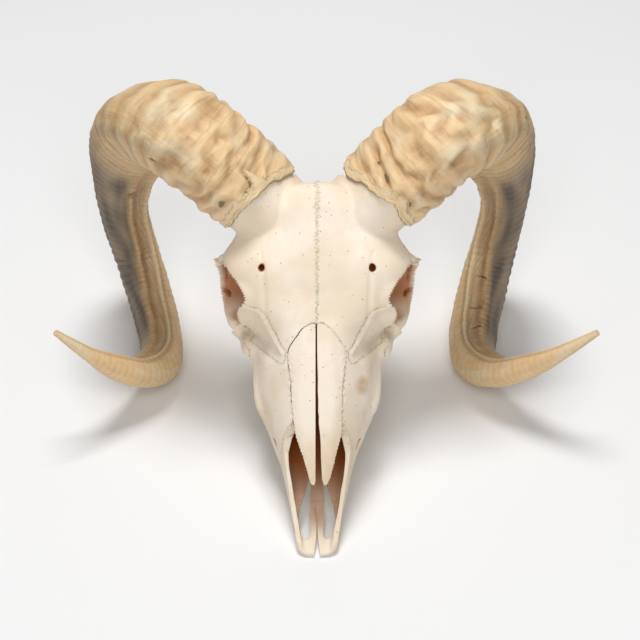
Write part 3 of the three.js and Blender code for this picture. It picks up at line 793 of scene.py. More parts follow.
@dataclass
class Horn:
    """One horn sheath, drawn on the left side: a coiled tube of keratin, ridged across and creased along."""

    node: str
    seed: int
    right: bool
    shift: tuple = (0,) * 15
    wider: tuple = (0,) * 15
    # How far along the sheath its ragged rim lies, at places round it.
    rim: tuple = (
        (-0.012, 6.5), (0.033, -0.6), (0.079, -5.6), (0.2, -6), (0.35, -4), (0.5, 1), (0.6, 5), (0.662, 8.7),
        (0.732, 12.6), (0.796, 14.2), (0.846, 13.7), (0.882, 13.1), (0.917, 11.5), (0.953, 9.8), (0.988, 6.5),
        (1.033, -0.6),
    )
    scars: tuple = ()
    # x, y and z of the centre line, then the section's width across the curl and its depth.
    stations: tuple = (
        (39.0, 226.0, 92.0, 72, 54), (62.0, 237.5, 112.0, 79, 58), (86.0, 251.5, 126.0, 83, 60),
        (110.5, 269.0, 120.5, 83, 59), (126.5, 278.5, 88.5, 69, 53), (137.5, 283.0, 42.5, 50, 44),
        (138.5, 277.0, 0.5, 40, 40), (132.5, 262.0, -31.0, 37.5, 39), (124.5, 237.5, -48.0, 36, 39),
        (116.5, 204.5, -50.5, 34, 38.5), (114.0, 173.0, -37.5, 31, 31.5), (126.0, 152.5, -18.5, 26.5, 23),
        (141.5, 144.5, 3.5, 20, 18), (158.0, 141.0, 27.0, 11, 10.5), (178.5, 143.5, 52.0, 4, 4),
    )
    section: tuple = (
        (0, -1), (0.62, -0.86), (0.95, -0.42), (0.98, 0.1), (0.78, 0.62), (0.42, 0.98), (0.12, 0.83),
        (-0.18, 0.97), (-0.68, 0.72), (-1, 0.02), (-0.94, -0.5), (-0.6, -0.88),
    )
    # Along the sheath: where round it the sharp inner edge and the rounded inner ridge lie, and the twist
    # of the section in degrees.
    creases: tuple = (
        (-20, 0.36, 0.49, 0), (60, 0.35, 0.47, 0), (110, 0.34, 0.45, -6), (160, 0.31, 0.41, -25),
        (205, 0.30, 0.39, -38), (235, 0.33, 0.42, -36), (265, 0.37, 0.46, -21), (285, 0.40, 0.49, -10),
        (308, 0.42, 0.52, 0), (355, 0.44, 0.55, 3), (380, 0.37, 0.47, 0), (400, 0.30, 0.38, 0),
        (420, 0.25, 0.33, 0), (447, 0.18, 0.28, 0), (490, 0.12, 0.24, 0),
    )
    # The middle of the curl from the side, as y and z.
    curl_middle: tuple = (218, 36)
    around: int = 184
    along: int = 480
    wall: float = 3.4
    # How deep the sheath's foot is hollow, and how far up its length the rags of its rim are felt.
    hollow: float = 20.0
    rim_blend: float = 46.0
    # The radius of the round on which the finish's grains are laid.
    grain_round: float = 36.0

    def __post_init__(self) -> None:
        """Works out the frames along the centre line, once."""
        table = np.array(self.stations, float)
        table[:, 0] += self.shift
        table[:, 3] += self.wider
        fine = np.linspace(0, 1, 1200)
        line = through(table[:, :3], fine)
        sizes = np.column_stack([np.arange(len(table)), table[:, 3] / 2, table[:, 4] / 2])
        size = through(sizes, fine)[:, 1:]
        self.run = run_along(line)
        ahead = heading(line)
        inward = np.column_stack([0 * line[:, 0], self.curl_middle - line[:, 1:]])
        inward -= ahead * np.sum(inward * ahead, axis=1, keepdims=True)
        inward /= np.linalg.norm(inward, axis=1, keepdims=True)
        across = np.cross(ahead, inward)
        self.frames = np.hstack([line, ahead, inward, across, size])
        self.length = float(self.run[-1])

    def crease_lines(self, s: np.ndarray) -> tuple[np.ndarray, np.ndarray]:
        """Where round the sheath the inner edge and the inner ridge lie, at lengths s."""
        found = read_table(np.array(self.creases, float), s.ravel())
        return found[:, 0].reshape(s.shape), found[:, 1].reshape(s.shape)

    def surface(self, s: np.ndarray, u: np.ndarray, inset: np.ndarray) -> np.ndarray:
        """Points on the smooth sheath, at lengths s and places u round it, set in by some millimetres."""
        held = np.stack([np.interp(s.ravel(), self.run, self.frames[:, k]) for k in range(14)], 1)
        at = held[:, 0:3] + np.minimum(s.ravel(), 0)[:, None] * held[:, 3:6]
        edge, ridge = (line.ravel() for line in self.crease_lines(s))
        turn = u.ravel() % 1.0
        middle = (edge + ridge) / 2
        turn = np.select(
            [turn < edge, turn < middle, turn < ridge],
            [turn / edge * 5, 5 + (turn - edge) / (middle - edge), 6 + (turn - middle) / (ridge - middle)],
            7 + (turn - ridge) / (1 - ridge) * 5,
        ) / len(self.section)
        ring = through(np.array(self.section, float), turn, closed=True)
        twist = np.radians(read_table(np.array(self.creases, float), s.ravel())[:, 2:])
        ring = np.cos(twist) * ring + np.sin(twist) * ring[:, ::-1] * [-1, 1]
        half = held[:, 12:14] - inset.ravel()[:, None]
        points = at + held[:, 9:12] * (ring[:, :1] * half[:, :1]) + held[:, 6:9] * (ring[:, 1:] * half[:, 1:])
        return points.reshape(*s.shape, 3)

    def rim_at(self, u: np.ndarray) -> np.ndarray:
        """How far along the sheath its rim lies, at places u round it, with its rags."""
        circle = np.column_stack([np.cos(2 * math.pi * u), np.sin(2 * math.pi * u), np.zeros(len(u))])
        ragged = 1.1 * wander(circle * 7.0, 1.0, self.seed + 40)
        ragged += 0.7 * wander(circle * 19.0, 1.0, self.seed + 41)
        knots = np.array(self.rim, float)
        return read_table(knots, (u - knots[0, 0]) % 1.0 + knots[0, 0])[:, 0] + ragged

    def ridges(
        self, s: np.ndarray, u: np.ndarray, rim: np.ndarray
    ) -> tuple[np.ndarray, dict[str, np.ndarray]]:
        """How far the surface stands off the smooth sheath, and the marks that colour it.

        Args:
            s: Length along the sheath, in millimetres, of each vertex.
            u: Place round the sheath, from 0 to 1, of each vertex.
            rim: Where along the sheath its rim lies, at each vertex's place round it.

        Returns:
            The heights, at most 0, and a table of marks.
        """
        circle = np.stack([np.cos(2 * math.pi * u), np.sin(2 * math.pi * u)], -1)

        def drift(along: float, about: float, seed: float) -> np.ndarray:
            """Smooth random values whose bumps are along mm long, and narrower with a larger about."""
            points = np.dstack([s / along, circle * about]).reshape(-1, 3)
            return wander(points, 1.0, self.seed + seed).reshape(s.shape)

        def band(centre: np.ndarray | float, half: float, soft: float = 0.5) -> np.ndarray:
            """1 along a line that runs up the sheath, and 0 away from it."""
            off = np.abs((u - centre + 0.5) % 1.0 - 0.5)
            return 1 - smooth_step(half * (1 - soft), half * (1 + soft), off)

        def over(*pairs: tuple) -> np.ndarray:
            """A value that changes along the sheath, from pairs of a length and its value."""
            return np.interp(s, [p[0] for p in pairs], [p[1] for p in pairs])

        edge, ridge = self.crease_lines(s)
        front = band(0.82, 0.26, 0.4)
        # Swellings across the sheath: each turn of the phase is one, and they wander and merge.
        fine = np.linspace(-20, 520, 1500)
        step = fine[1] - fine[0]
        wave = np.interp(fine, [0, 50, 90, 140, 220, 330, 480], [12.5, 13.0, 10.5, 8.0, 7.0, 6.0, 4.5])
        turns = np.interp(s, fine, np.cumsum(step / wave))
        wild = over((0, 1.0), (60, 1.0), (95, 0.35), (150, 0.18), (479, 0.15))
        phase = turns + wild * (0.7 * drift(34, 1.7, 1) + 0.22 * drift(14, 3.6, 2)) + 0.1 * drift(20, 1.5, 3)
        swell = 0.5 + 0.5 * np.cos(2 * math.pi * phase)
        force = np.clip(0.75 + 0.9 * drift(17, 2.6, 4), 0.1, 1.35)
        force = force * wild + (1 - wild) * np.clip(0.8 + 0.5 * drift(9, 0.9, 5), 0.2, 1.2)
        height = over(
            (0, 1.2), (18, 3.0), (70, 2.8), (100, 1.6), (150, 1.0), (260, 0.8), (400, 0.5), (470, 0.1)
        )
        cover = np.clip(0.4 + 0.6 * front + 0.3 * band(0.1, 0.25), 0, 1)
        big = -height * cover * force * (1 - swell**0.8)
        lump = over((0, 1.6), (80, 1.5), (140, 0.7), (400, 0.35), (479, 0.05)) * (drift(15, 2.4, 6) - 0.55)
        small_phase = turns * 2.9 + wild * 0.8 * drift(14, 3.5, 7) + 0.25 * drift(30, 1.5, 8)
        small = -over((0, 0.35), (90, 0.45), (140, 0.5), (200, 0.24), (300, 0.2), (400, 0.15), (479, 0.03))
        small = small * (0.5 + 0.5 * np.sin(2 * math.pi * small_phase))
        small = small * np.clip(0.7 + 0.8 * drift(20, 2.0, 9), 0.1, 1.3)
        thin = np.clip(1 - np.abs((turns * 1.35 + 0.35 * drift(50, 1.0, 10)) % 1.0 - 0.5) / 0.06, 0, 1)
        thin = thin * smooth_step(-0.05, 0.3, drift(26, 1.6, 11))
        thin = thin * over((70, 0), (110, 0.7), (150, 1), (230, 0.7), (330, 0.4), (400, 0))
        # The trough between the sharp inner edge and the rounded inner ridge, and the crease beside the edge.
        low = over((120, 0), (170, 1), (360, 1), (440, 0.8), (475, 0))
        trough = band((edge + ridge) / 2, 0.045, 0.7) * low
        gutter = band(edge - 0.04, 0.014, 0.8) * low
        strip = band(ridge + 0.045, 0.012, 0.8) * low
        # The outer layer ends short of the rim, where the younger layers under it show.
        torn = 7.0 + 2.6 * drift(60, 6.0, 12) + 1.6 * drift(60, 16.0, 13)
        if self.right:
            torn = torn + 13 * np.clip(1 - np.abs(u - 0.93) / 0.018, 0, 1)
        under = smooth_step(0.5, -0.1, s - rim - torn)
        layers = sum(
            smooth_step(0.35, 0.0, s - rim - end - 1.1 * drift(60, 9.0, 14 + end)) for end in (1.4, 3.2, 5.0)
        )
        calm = 1 - 0.75 * under
        off = (big + small + lump) * calm - 0.45 * thin - 1.0 * trough - 0.8 * gutter - 0.35 * strip
        off = off - 0.85 * under - 0.3 * layers
        # Painted shade in the furrows between the swellings.
        furrow_shade = np.clip((1 - swell**0.8) * force * cover, 0, 1) * calm
        slate = smooth_step(0.035, 0.075, u - ridge) * smooth_step(0.86, 0.76, u)
        marks = {
            "tan": over((70, 0), (110, 0.45), (200, 0.5), (300, 0.5), (380, 0.4), (430, 0.15), (479, 0)),
            "furrow_shade": furrow_shade * over((0, 0.9), (110, 0.75), (200, 0.35), (400, 0.3), (479, 0.1)),
            "slate": slate * over((125, 0), (165, 0.9), (330, 0.95), (365, 0.35), (400, 0))
            * (0.9 + 0.35 * drift(30, 2.5, 21)),
            "young": over((80, 1), (150, 0.5), (200, 0.25), (479, 0.2)),
            "olive": band(0.75, 0.16, 0.6) * over((20, 0.0), (80, 0.6), (190, 0.75), (260, 0))
            * (0.8 + 0.5 * drift(12, 2, 24)),
            "amber": band(ridge, 0.034, 0.5) * over((120, 0), (180, 0.8), (340, 0.75), (400, 0.2), (440, 0))
            * (0.9 + 0.6 * drift(16, 3, 22)),
            # The trough between the inner edge and the inner ridge is painted darker as shade.
            "groove_shade": band((edge + ridge) / 2 + 0.01, 0.045, 0.4)
            * over((150, 0), (190, 0.75), (350, 0.6), (400, 0.45), (445, 0.45), (479, 0)),
            "pale": np.maximum(
                band(edge + 0.005, 0.018, 0.6) * over((150, 0.0), (200, 0.6), (400, 0.7), (470, 0.4)),
                under * (0.8 + 0.3 * drift(60, 5, 23)),
            ),
            "dark": np.clip(0.7 * thin + 0.35 * gutter + 0.3 * strip, 0, 0.9)
            + 0.45 * under * smooth_step(-1.5, 0.2, s - rim - torn),
        }
        girth = np.interp(s, self.run, self.frames[:, 12] + self.frames[:, 13]) * math.pi
        for scar in self.scars:
            away = np.hypot((s - scar.at[0]) / scar.half_along, (u - scar.at[1]) * girth / scar.half_about)
            away = away + 0.35 * drift(2.2, 22.0, 31)
            dent = 1 - smooth_step(0.55, 1.1, away)
            off = off - scar.depth * dent
            marks[scar.mark] = np.maximum(marks[scar.mark], scar.strength * dent)
        off = np.maximum(off, -np.interp(s, [18, 30], [self.wall - 0.5, 9]))
        taper = smooth_step(0, 30, self.length - s)
        return off * taper, {name: np.clip(values, 0, 1) for name, values in marks.items()}

    def build(self, pose: Pose, finish: bpy.types.Material) -> bpy.types.Object:
        """Builds the sheath: its hollow foot, its ragged rim, and its outer surface to the tip."""
        places = np.linspace(0, 1, self.around, endpoint=False)
        inner = np.linspace(self.hollow, 0.0, 14)
        # The rags of the rim need closer rings than the rest.
        outer = np.concatenate(
            [np.linspace(0.0, 12.0, 30)[:-1], np.linspace(12.0, self.length - 0.5, self.along)]
        )
        s = np.concatenate([inner, outer])[:, None] * np.ones(self.around)
        u = np.ones(len(s))[:, None] * places
        depth = np.concatenate([np.linspace(self.wall + 0.6, self.wall, len(inner)), np.zeros(len(outer))])
        depth[len(inner) : len(inner) + 3] = np.array([0.8, 0.4, 0.12]) * self.wall
        edge = self.rim_at(places)
        near = np.clip(1 - s / self.rim_blend, 0, 1) ** 2
        near[: len(inner)] = 1
        moved = s + near * edge[None, :]
        smooth = self.surface(moved, u, depth[:, None] * np.ones(self.around))
        side = np.roll(smooth, -1, axis=1) - np.roll(smooth, 1, axis=1)
        normal = np.cross(side, np.gradient(smooth, axis=0))
        normal /= np.maximum(np.linalg.norm(normal, axis=2, keepdims=True), 1e-9)
        centre = smooth.mean(1, keepdims=True)
        flip = np.sign(np.sum(normal * (smooth - centre), axis=2)[len(inner) + 40 :].mean())
        height, marks = self.ridges(moved, u, edge[None, :] * np.ones_like(s))
        height[: len(inner)] = 0
        # The inside of the hollow foot is painted dark as shade.
        marks["dark"][: len(inner)] = 0.7
        rings = smooth + flip * normal * height[:, :, None]
        circle = self.grain_round * np.stack([np.cos(2 * math.pi * u), np.sin(2 * math.pi * u)], -1)
        marks["sheath"] = np.dstack([moved, circle]) * MM
        piece = loft(self.node + "_sheath", rings, marks)
        if self.right:
            change_side(piece)
        pose.settle(piece)
        finish_piece(piece, finish, (self.node,), 50)
        return piece


# ---- the bones ----


@dataclass(frozen=True)
class Stroke:
    """A groove or, with a depth above 0, a ridge, drawn on both sides of the skull in one view."""

    view: View
    line: tuple
    radius: float
    depth: float

    def pull(self, points: np.ndarray, normals: np.ndarray) -> np.ndarray:
        """How far the stroke moves each vertex along its normal."""
        side = np.sign(points[:, 0])
        if self.view is View.FACE:
            flat = np.stack([np.abs(points[:, 0]), points @ FACE_UP], 1)
            facing = normals @ FACE_OUT
        elif self.view is View.SIDE:
            flat = points[:, 1:]
            facing = normals[:, 0] * side
        elif self.view is View.UNDER:
            flat = np.stack([np.abs(points[:, 0]), points[:, 1]], 1)
            facing = -normals[:, 2]
        else:
            flat = np.stack([np.abs(points[:, 0]), points[:, 2]], 1)
            facing = normals[:, 1]
        line = np.array(self.line, float)
        away = np.full(len(points), 1e9)
        for a, b in zip(line[:-1], line[1:]):
            share = np.clip(((flat - a) @ (b - a)) / max((b - a) @ (b - a), 1e-9), 0, 1)
            away = np.minimum(away, np.linalg.norm(flat - a - share[:, None] * (b - a), axis=1))
        fall = 1 - smooth_step(0, self.radius, away)
        return self.depth * fall * smooth_step(0.1, 0.5, facing)


@dataclass
class Skull:
    """The skull's bones, shaped as one solid and then parted along their sutures."""

    pose: Pose
    finish: bpy.types.Material
    voxel: float = 0.85
    gap: float = 0.14
    # y, roof, then brow, cheek and gum as x and z, and palate: half a section at each place along the palate.
    stations: tuple = (
        (0, 6, 4.5, 5.6, 9, 3, 6, 0.2, 0), (4, 9, 8, 7, 13.6, 3.6, 10, 0, 0.6),
        (14, 26, 10, 20, 14.8, 6.5, 11.5, 0, 1.2), (36, 38.5, 11.5, 34, 19, 13, 14.5, 0, 2),
        (60, 52.5, 14.5, 47.5, 25, 22, 19, 0, 3), (82, 62.5, 16.5, 58, 33, 24, 24, 0, 4),
        (105, 71.5, 17.5, 67, 41, 23, 31, 0, 5), (130, 79, 22, 73.5, 43, 25, 36, 0, 5),
        (146, 85, 38, 75, 45, 34, 36, 3, 6), (160, 92.5, 50, 77.5, 45, 47, 29, 14, 12),
        (174, 98.5, 60.5, 82, 41, 52, 25, 20, 19), (188, 103, 64, 80, 39, 56, 24, 25, 23),
        (198, 105.5, 57, 84, 38, 58, 25, 25, 23), (212, 111, 50, 90, 37, 60, 26, 25, 21),
        (226, 110.5, 44, 90, 37, 58, 26, 24, 19), (239, 92, 37, 77, 36, 52, 25, 24, 17),
        (251, 65, 29, 58, 32, 45, 21, 25, 17), (259, 52, 22, 48, 25, 40, 16, 27, 19),
    )
    cavity: tuple = (
        (-6, 24, 8, 22, 10, 14, 8, 5, 5), (14, 26, 8, 20, 11.5, 10, 9, 4, 4),
        (36, 35, 9.5, 32, 16.6, 14, 12, 4.5, 4.5), (60, 48.5, 12.2, 44.5, 22.2, 22, 15, 6, 6),
        (82, 58.5, 13, 54.5, 20, 26, 15, 8, 8), (105, 67, 13.5, 63, 18, 32, 13, 10, 10),
        (124, 72, 11, 68, 12, 44, 8, 22, 20), (132, 66, 5, 64, 6, 50, 4, 36, 34),
    )
    orbit_rim: tuple = (
        (50, 151, 61), (53, 159, 73), (60.5, 171, 77), (70.5, 183, 71),
        (72.5, 190, 61), (70, 185, 46), (64.5, 170, 38.5), (57, 156, 44),
    )
    # The back edge of the orbit, in face view, from the corner behind the orbit down.
    orbit_back: tuple = (
        (70.3, 199), (69.2, 195), (68, 191), (67.5, 186), (67, 181), (65.8, 174.5), (64.6, 168.5),
    )
    # The nostril's edge from the side, from the tip of the nose back.
    nostril: tuple = (
        (-10, 6), (4, 6), (14, 9), (24, 13), (36, 19.5), (50, 28), (60, 34.5), (67, 42), (72, 51), (75, 57),
    )
    # The edges between the two nasal bones, which stand apart at their tips.
    nasal_gap: tuple = (
        ((3.3, 53), (3.0, 60), (2.6, 68), (2.5, 75), (2.1, 82), (1.5, 87), (1.15, 90), (1.3, 94), (0.8, 98),
         (0.85, 105), (0.5, 111), (0.6, 119), (0.35, 128), (0.12, 138)),
        ((0.8, 52), (0.45, 58), (0.2, 68), (0.3, 82), (0.12, 96), (0.25, 112), (0.12, 138)),
    )
    # The edge of the bone over the orbit, in face view, from the tear bone to the corner behind the orbit.
    brow: tuple = (
        (56, 156), (55.3, 160.5), (53.8, 164.5), (50.4, 168), (48.9, 171), (49.3, 175), (52, 180),
        (55, 184.5), (58.2, 188.5), (62, 194.5), (66, 197), (71, 199),
    )
    # Each bump: its middle and its half sizes. Each hollow: the same, then its turn and its tilt in degrees.
    bumps: tuple = (
        ((42, 171, 61), (25, 25.5, 24)), ((43, 147, 37), (10, 12, 11)), ((13, 257, 27), (9.5, 9, 12.5)),
        ((20, 223, 17), (8, 12, 9)), ((40, 231, 37), (8, 6, 6)),
    )
    hollows: tuple = (
        ((69, 170, 60), (44, 16.5, 18.5), 18, 0), ((36.5, 173.5, 88), (2.6, 3.0, 9), 12, 44),
        ((28.5, 72, 25), (4, 4.4, 1.8), -20, 0), ((39.5, 160, 76), (1.0, 1.3, 6), 20, 40),
    )
    strokes: tuple = (
        Stroke(View.FACE, ((36.5, 191), (35.5, 176), (35, 158)), 3.4, -0.9),
        Stroke(View.FACE, ((36.5, 195), (38, 204)), 2.4, -0.5),
        Stroke(View.FACE, ((50, 151), (42, 148), (36, 142), (31, 135)), 8.0, -1.9),
        Stroke(View.FACE, ((50, 167), (39, 163), (34, 154), (28, 142), (24, 136)), 2.6, 0.8),
        Stroke(View.FACE, ((0, 166), (0, 245)), 7.0, 0.5),
        Stroke(View.FACE, ((18, 180), (20, 215)), 14.0, -0.9),
        Stroke(View.FACE, ((8, 150), (12, 110), (9, 70)), 5.0, 0.5),
        Stroke(View.SIDE, ((66, 22), (92, 30), (118, 36)), 12.0, -1.0),
        Stroke(View.SIDE, ((100, 24), (120, 23), (138, 32)), 7.0, 1.6),
        Stroke(View.SIDE, ((215, 60), (228, 66)), 16.0, -1.5),
        Stroke(View.BACK, ((16, 84), (20, 66)), 10.0, -1.8),
        Stroke(View.BACK, ((0, 100), (0, 62)), 4.0, 1.2),
        Stroke(View.UNDER, ((5, 60), (6, 140)), 6.0, -0.8),
        Stroke(View.UNDER, ((15, 218), (14, 246)), 5.0, -1.5),
    )

    def __post_init__(self) -> None:
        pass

    def body(self, table: tuple, around: int, along: int) -> bpy.types.Object:
        """A closed solid through a table of stations."""
        keys = np.array(table, float)
        places = np.linspace(keys[0, 0], keys[-1, 0], along)
        rings = []
        for row, y in zip(read_table(keys, places), places):
            half = [(0, row[0]), *zip(row[1:7:2], row[2:7:2]), (0, row[7])]
            outline = np.array([(x, y, z) for x, z in half] + [(-x, y, z) for x, z in half[-2:0:-1]])
            rings.append(through(outline, np.linspace(0, 1, around, endpoint=False), closed=True))
        return loft("body", np.array(rings))

    def pedicle(self) -> bpy.types.Object:
        """The left bony stump that a sheath sits on: it reaches a little way into the sheath."""
        horn = Horn("pedicle", 1, False)
        # How far inside the sheath's surface it stands, how deep in the bone it starts, and where it ends.
        inset, root, top = 4.2, 46, 29
        around, count = 72, 24
        places = np.linspace(0, 1, around, endpoint=False)
        start = horn.surface(np.zeros((1, around)), places[None], np.full((1, around), inset))[0]
        at, ahead = horn.frames[0, 0:3], horn.frames[0, 3:6]
        rings = []
        for back in np.linspace(-root, -2, 22):
            rings.append(at + ahead * back + (start - at) * (1 + 0.11 * back / root))
        lengths = np.linspace(0, top, count)[:, None]
        grid = np.ones((count, around))
        insets = inset + 5 * smooth_step(24, top, lengths)
        rings += list(horn.surface(lengths * grid, places * grid, insets * grid))
        return loft("pedicle", np.array(rings))

    def rim(self) -> bpy.types.Object:
        """The raised ring of bone round the left orbit, rough along its upper edge."""
        count, tube = 160, 16
        rim = through(np.array(self.orbit_rim, float), np.linspace(0, 1, count, endpoint=False), closed=True)
        axis = np.array([1, -0.35, 0.2])
        axis /= np.linalg.norm(axis)
        out = rim - np.array(self.orbit_rim, float).mean(0)
        out -= axis * (out @ axis)[:, None]
        out /= np.linalg.norm(out, axis=1, keepdims=True)
        bpy.ops.object.select_all(action="DESELECT")
        bpy.ops.mesh.primitive_torus_add(
            major_segments=count, minor_segments=tube, major_radius=2, minor_radius=1
        )
        piece = bpy.context.object
        x, y, z = get_points(piece).T
        turn = np.rint(np.arctan2(y, x) / (2 * math.pi) * count).astype(int) % count
        angle = np.arctan2(z, np.hypot(x, y) - 2)
        upper = smooth_step(62, 74, rim[:, 2])
        knobs = (0.9 + 0.6 * upper) * wander(rim, 2.2, 3.0) + 0.5 * wander(rim, 6.0, 5.0)
        across, along = 2.1 + knobs, 5.0
        placed = rim[turn] + out[turn] * (across[turn] * (1 + np.cos(angle)))[:, None]
        placed += axis * (along * (np.sin(angle) - 1))[:, None]
        set_points(piece, placed)
        face_outwards(piece)
        return piece

    def both_sides(self, *pieces: bpy.types.Object) -> list[bpy.types.Object]:
        """The pieces with their twins."""
        return [*pieces, *(mirrored(piece) for piece in pieces)]

    def whole(self) -> bpy.types.Object:
        """The whole skull as one solid, before it is parted into bones."""
        raised = joined(
            "skull", self.body(self.stations, 144, 220), ball((0, 254, 52), (29, 6.5, 8)),
            *self.both_sides(
                *(ball(at, half) for at, half in self.bumps),
                bar([(36, 124, 22, 8), (40, 137, 28, 8), (42.5, 143.5, 32, 7.5), (48.5, 149, 36, 7),
                     (56, 155, 38, 6), (62, 168, 39.5, 5), (66, 181, 45, 5)], 4.0),
                bar([(31, 240, 34, 9), (31, 241, 14, 6), (28, 238, -4, 3), (27, 237, -8, 1.6)], 3),
                self.pedicle(),
            ),
        )
        use_modifier(raised, "REMESH", mode="VOXEL", voxel_size=self.voxel * 1.2)
        use_modifier(raised, "SMOOTH", factor=0.5, iterations=8)
        tools = [
            ball((0, 176, 4), (9.5, 26, 21)), ball((0, 268, 37), (10, 28, 8.5)),
            self.body(self.cavity, 72, 90),
            *self.both_sides(*(ball(*hollow) for hollow in self.hollows)),
        ]
        brow_edge = Edge(self.brow, ((92, 205), (92, 156)), Suture(1.3, 1.9, 5)).outline(0, 0.3)
        below = ((64.0, 164), (62.4, 158.5), (60.8, 154.5), (57, 150.5), (92, 149), (92, 205))
        back_edge = Edge(self.orbit_back, below, Suture(1.0, 1.9, 7)).outline(0, 0.3)
        brows = self.both_sides(
            prism("brow", brow_edge, -38, 40, FACE_AXES), prism("brow", back_edge, -95, -37.5, FACE_AXES),
        )
        for tool in tools + brows:
            cut(raised, tool, Cut.AWAY)
        drop(*tools)
        added = self.both_sides(
            self.rim(),
            bar([(66.5, 183, 46, 5.5), (61, 199, 45, 5.5), (52, 214, 43, 5), (42, 227, 41, 6),
                 (34, 236, 40, 8)], 3.2),
            bar([(48, 178, 83, 4), (56, 185, 79, 4), (62, 189.5, 74.5, 3.4), (67, 190.5, 69, 2.4)], 3.0),
            ball((57.5, 185, 46), (6.5, 4.5, 10)),
            bar([(13.5, 147, 6, 9), (13.2, 160, 10, 10.5), (13.5, 173, 17, 8), (14.5, 188, 25, 5)], 2),
        )
        whole = joined("skull", raised, *added)
        use_modifier(whole, "REMESH", mode="VOXEL", voxel_size=self.voxel)
        use_modifier(whole, "SMOOTH", factor=0.5, iterations=3)
        self.sculpt(whole)
        for brow in brows:
            cut(whole, brow, Cut.AWAY)
        drop(*brows)
        return whole

    def sculpt(self, whole: bpy.types.Object) -> None:
        """Draws the strokes on the bone, and makes its surface a little uneven."""
        points, normals = get_points(whole), get_normals(whole)
        lift = sum(stroke.pull(points, normals) for stroke in self.strokes)
        lift += 0.45 * wander(points, 24, 1) + 0.16 * wander(points, 7, 2) + 0.05 * wander(points, 2.4, 3)
        beside = Stroke(View.FACE, ((18.4, 136), (17.3, 115), (16.8, 102), (15, 86)), 4.5, 0.7)
        lift += beside.pull(points, normals) * wander(points, 1.8, 4)
        set_points(whole, points + normals * lift[:, None])

    def midline(self, low: float, high: float) -> np.ndarray:
        """The toothed line where the two frontal bones meet, from high to low, as (x, climb)."""
        random = np.random.default_rng(11)
        knots, climb = [], 100.0
        while climb < 300:
            reach = np.interp(climb, [150, 165, 200, 250], [0.5, 1.2, 1.9, 2.6])
            knots.append((climb, random.uniform(0.35, 1.0) * reach * (1 if len(knots) % 2 else -1)))
            climb += random.uniform(0.8, 1.7)
        places = np.arange(high, low, -0.4)
        table = np.array(knots)
        return np.column_stack([np.interp(places, table[:, 0], table[:, 1]), places])

    def part(self, rest: bpy.types.Object) -> dict[str, bpy.types.Object]:
        """Parts the whole skull into its bones along toothed sutures.

        Args:
            rest: The whole skull, which is used up.

        Returns:
            The bones by the name of the node that each one stands for.
        """
        bones: dict[str, bpy.types.Object] = {}

        def take(name: str, inner: list[bpy.types.Object], outer: list[bpy.types.Object]) -> None:
            """Takes a bone out of the rest: the inner prisms hold it, and the outer ones its seam as well."""
            tools = []
            for parts in (inner, outer):
                for extra in parts[1:]:
                    cut(parts[0], extra, Cut.ADD)
                    drop(extra)
                tools.append(parts[0])
            bones[name] = main_body(cut(copied(rest, name), tools[0], Cut.KEEP))
            cut(rest, tools[1], Cut.AWAY)
            drop(*tools)

        def cut_away(tool: bpy.types.Object) -> None:
            """Cuts a tool out of the rest."""
            cut(rest, tool, Cut.AWAY)
            drop(tool)

        nasal_seam = (
            (0.05, 155), (3, 156), (9, 152.5), (14, 146), (18, 140), (19.5, 134), (18.6, 126), (17.3, 115),
            (16.8, 102),
        )
        tips = (
            ((16.7, 90), (15.8, 81), (13, 70.2), (10.4, 59.8), (8.2, 52.5), (6.4, 49.4), (4.6, 49.2)),
            ((15.4, 90), (13.8, 80.8), (10.2, 70.2), (6.6, 58.7), (4.8, 51.8), (3.4, 49.3), (1.9, 49.2)),
        )
        for side, right in SIDES:
            seam, suture = nasal_seam + tips[right], Suture(0.45, 2.2, 21 + right)
            edge = Edge(seam, self.nasal_gap[right], suture)
            wide = Edge(seam, ((-1, 49), (-1, 155)), suture)
            # The seam beside the right nasal bone stands further open.
            gap = self.gap + 0.5 * right
            take(f"nasal_{side}", side_prisms([(edge.outline(0), -9, 40)], right, FACE_AXES),
                 side_prisms([(wide.outline(gap), -9, 40)], right, FACE_AXES))
        cut_away(prism("tool", np.array([*self.nostril, (75, 80), (-10, 80)], float), -60, 60, SIDE_AXES))
        # The slots in the front of the palate.
        slot = np.array([(5, 12), (8, 11.5), (10.6, 15), (12.4, 26), (11.2, 36), (8, 47), (5.2, 56),
                         (4.4, 54), (4.8, 36)], float)
        for _, right in SIDES:
            cut_away(side_prisms([(even(slot, 1.0, True)[:-1], -40, 40)], right, TOP_AXES)[0])

        seam = ((-6, 137), (20, 137), (28, 150), (37, 164), (49, 168), (56, 170), (80, 170))
        back = ((80, 285), (31, 285), (27, 257), (10, 259), (-6, 258))
        for side, right in SIDES:
            # The left bone is taken first, so the right one may reach across the middle.
            if right:
                nearest = -7
                low_line, high_line = np.array([(-8.0, 222), (-8, 136.5)]), np.array([(-8.0, 258), (-8, 210)])
            else:
                nearest = 3.5
                low_line, high_line = self.midline(136.5, 222), self.midline(210, 258)
            tools = []
            for gap in (0.0, self.gap):
                reach = np.array([gap, 0])
                front = Edge(seam, ((80, 222),), Suture(0.5, 2.6, 31 + right)).outline(gap)
                front = front[front[:, 0] > nearest]
                root = Edge(back, ((-6, 210),), Suture(0.6, 3.0, 41 + right)).outline(gap)
                root = root[root[:, 0] > nearest]
                tools.append(side_prisms([
                    (np.vstack([front, low_line - reach]), -46, 40),
                    (np.vstack([(80.0, 210), root, high_line - reach]), -66, 40),
                ], right, FACE_AXES))
            take(f"frontal_{side}", *tools)

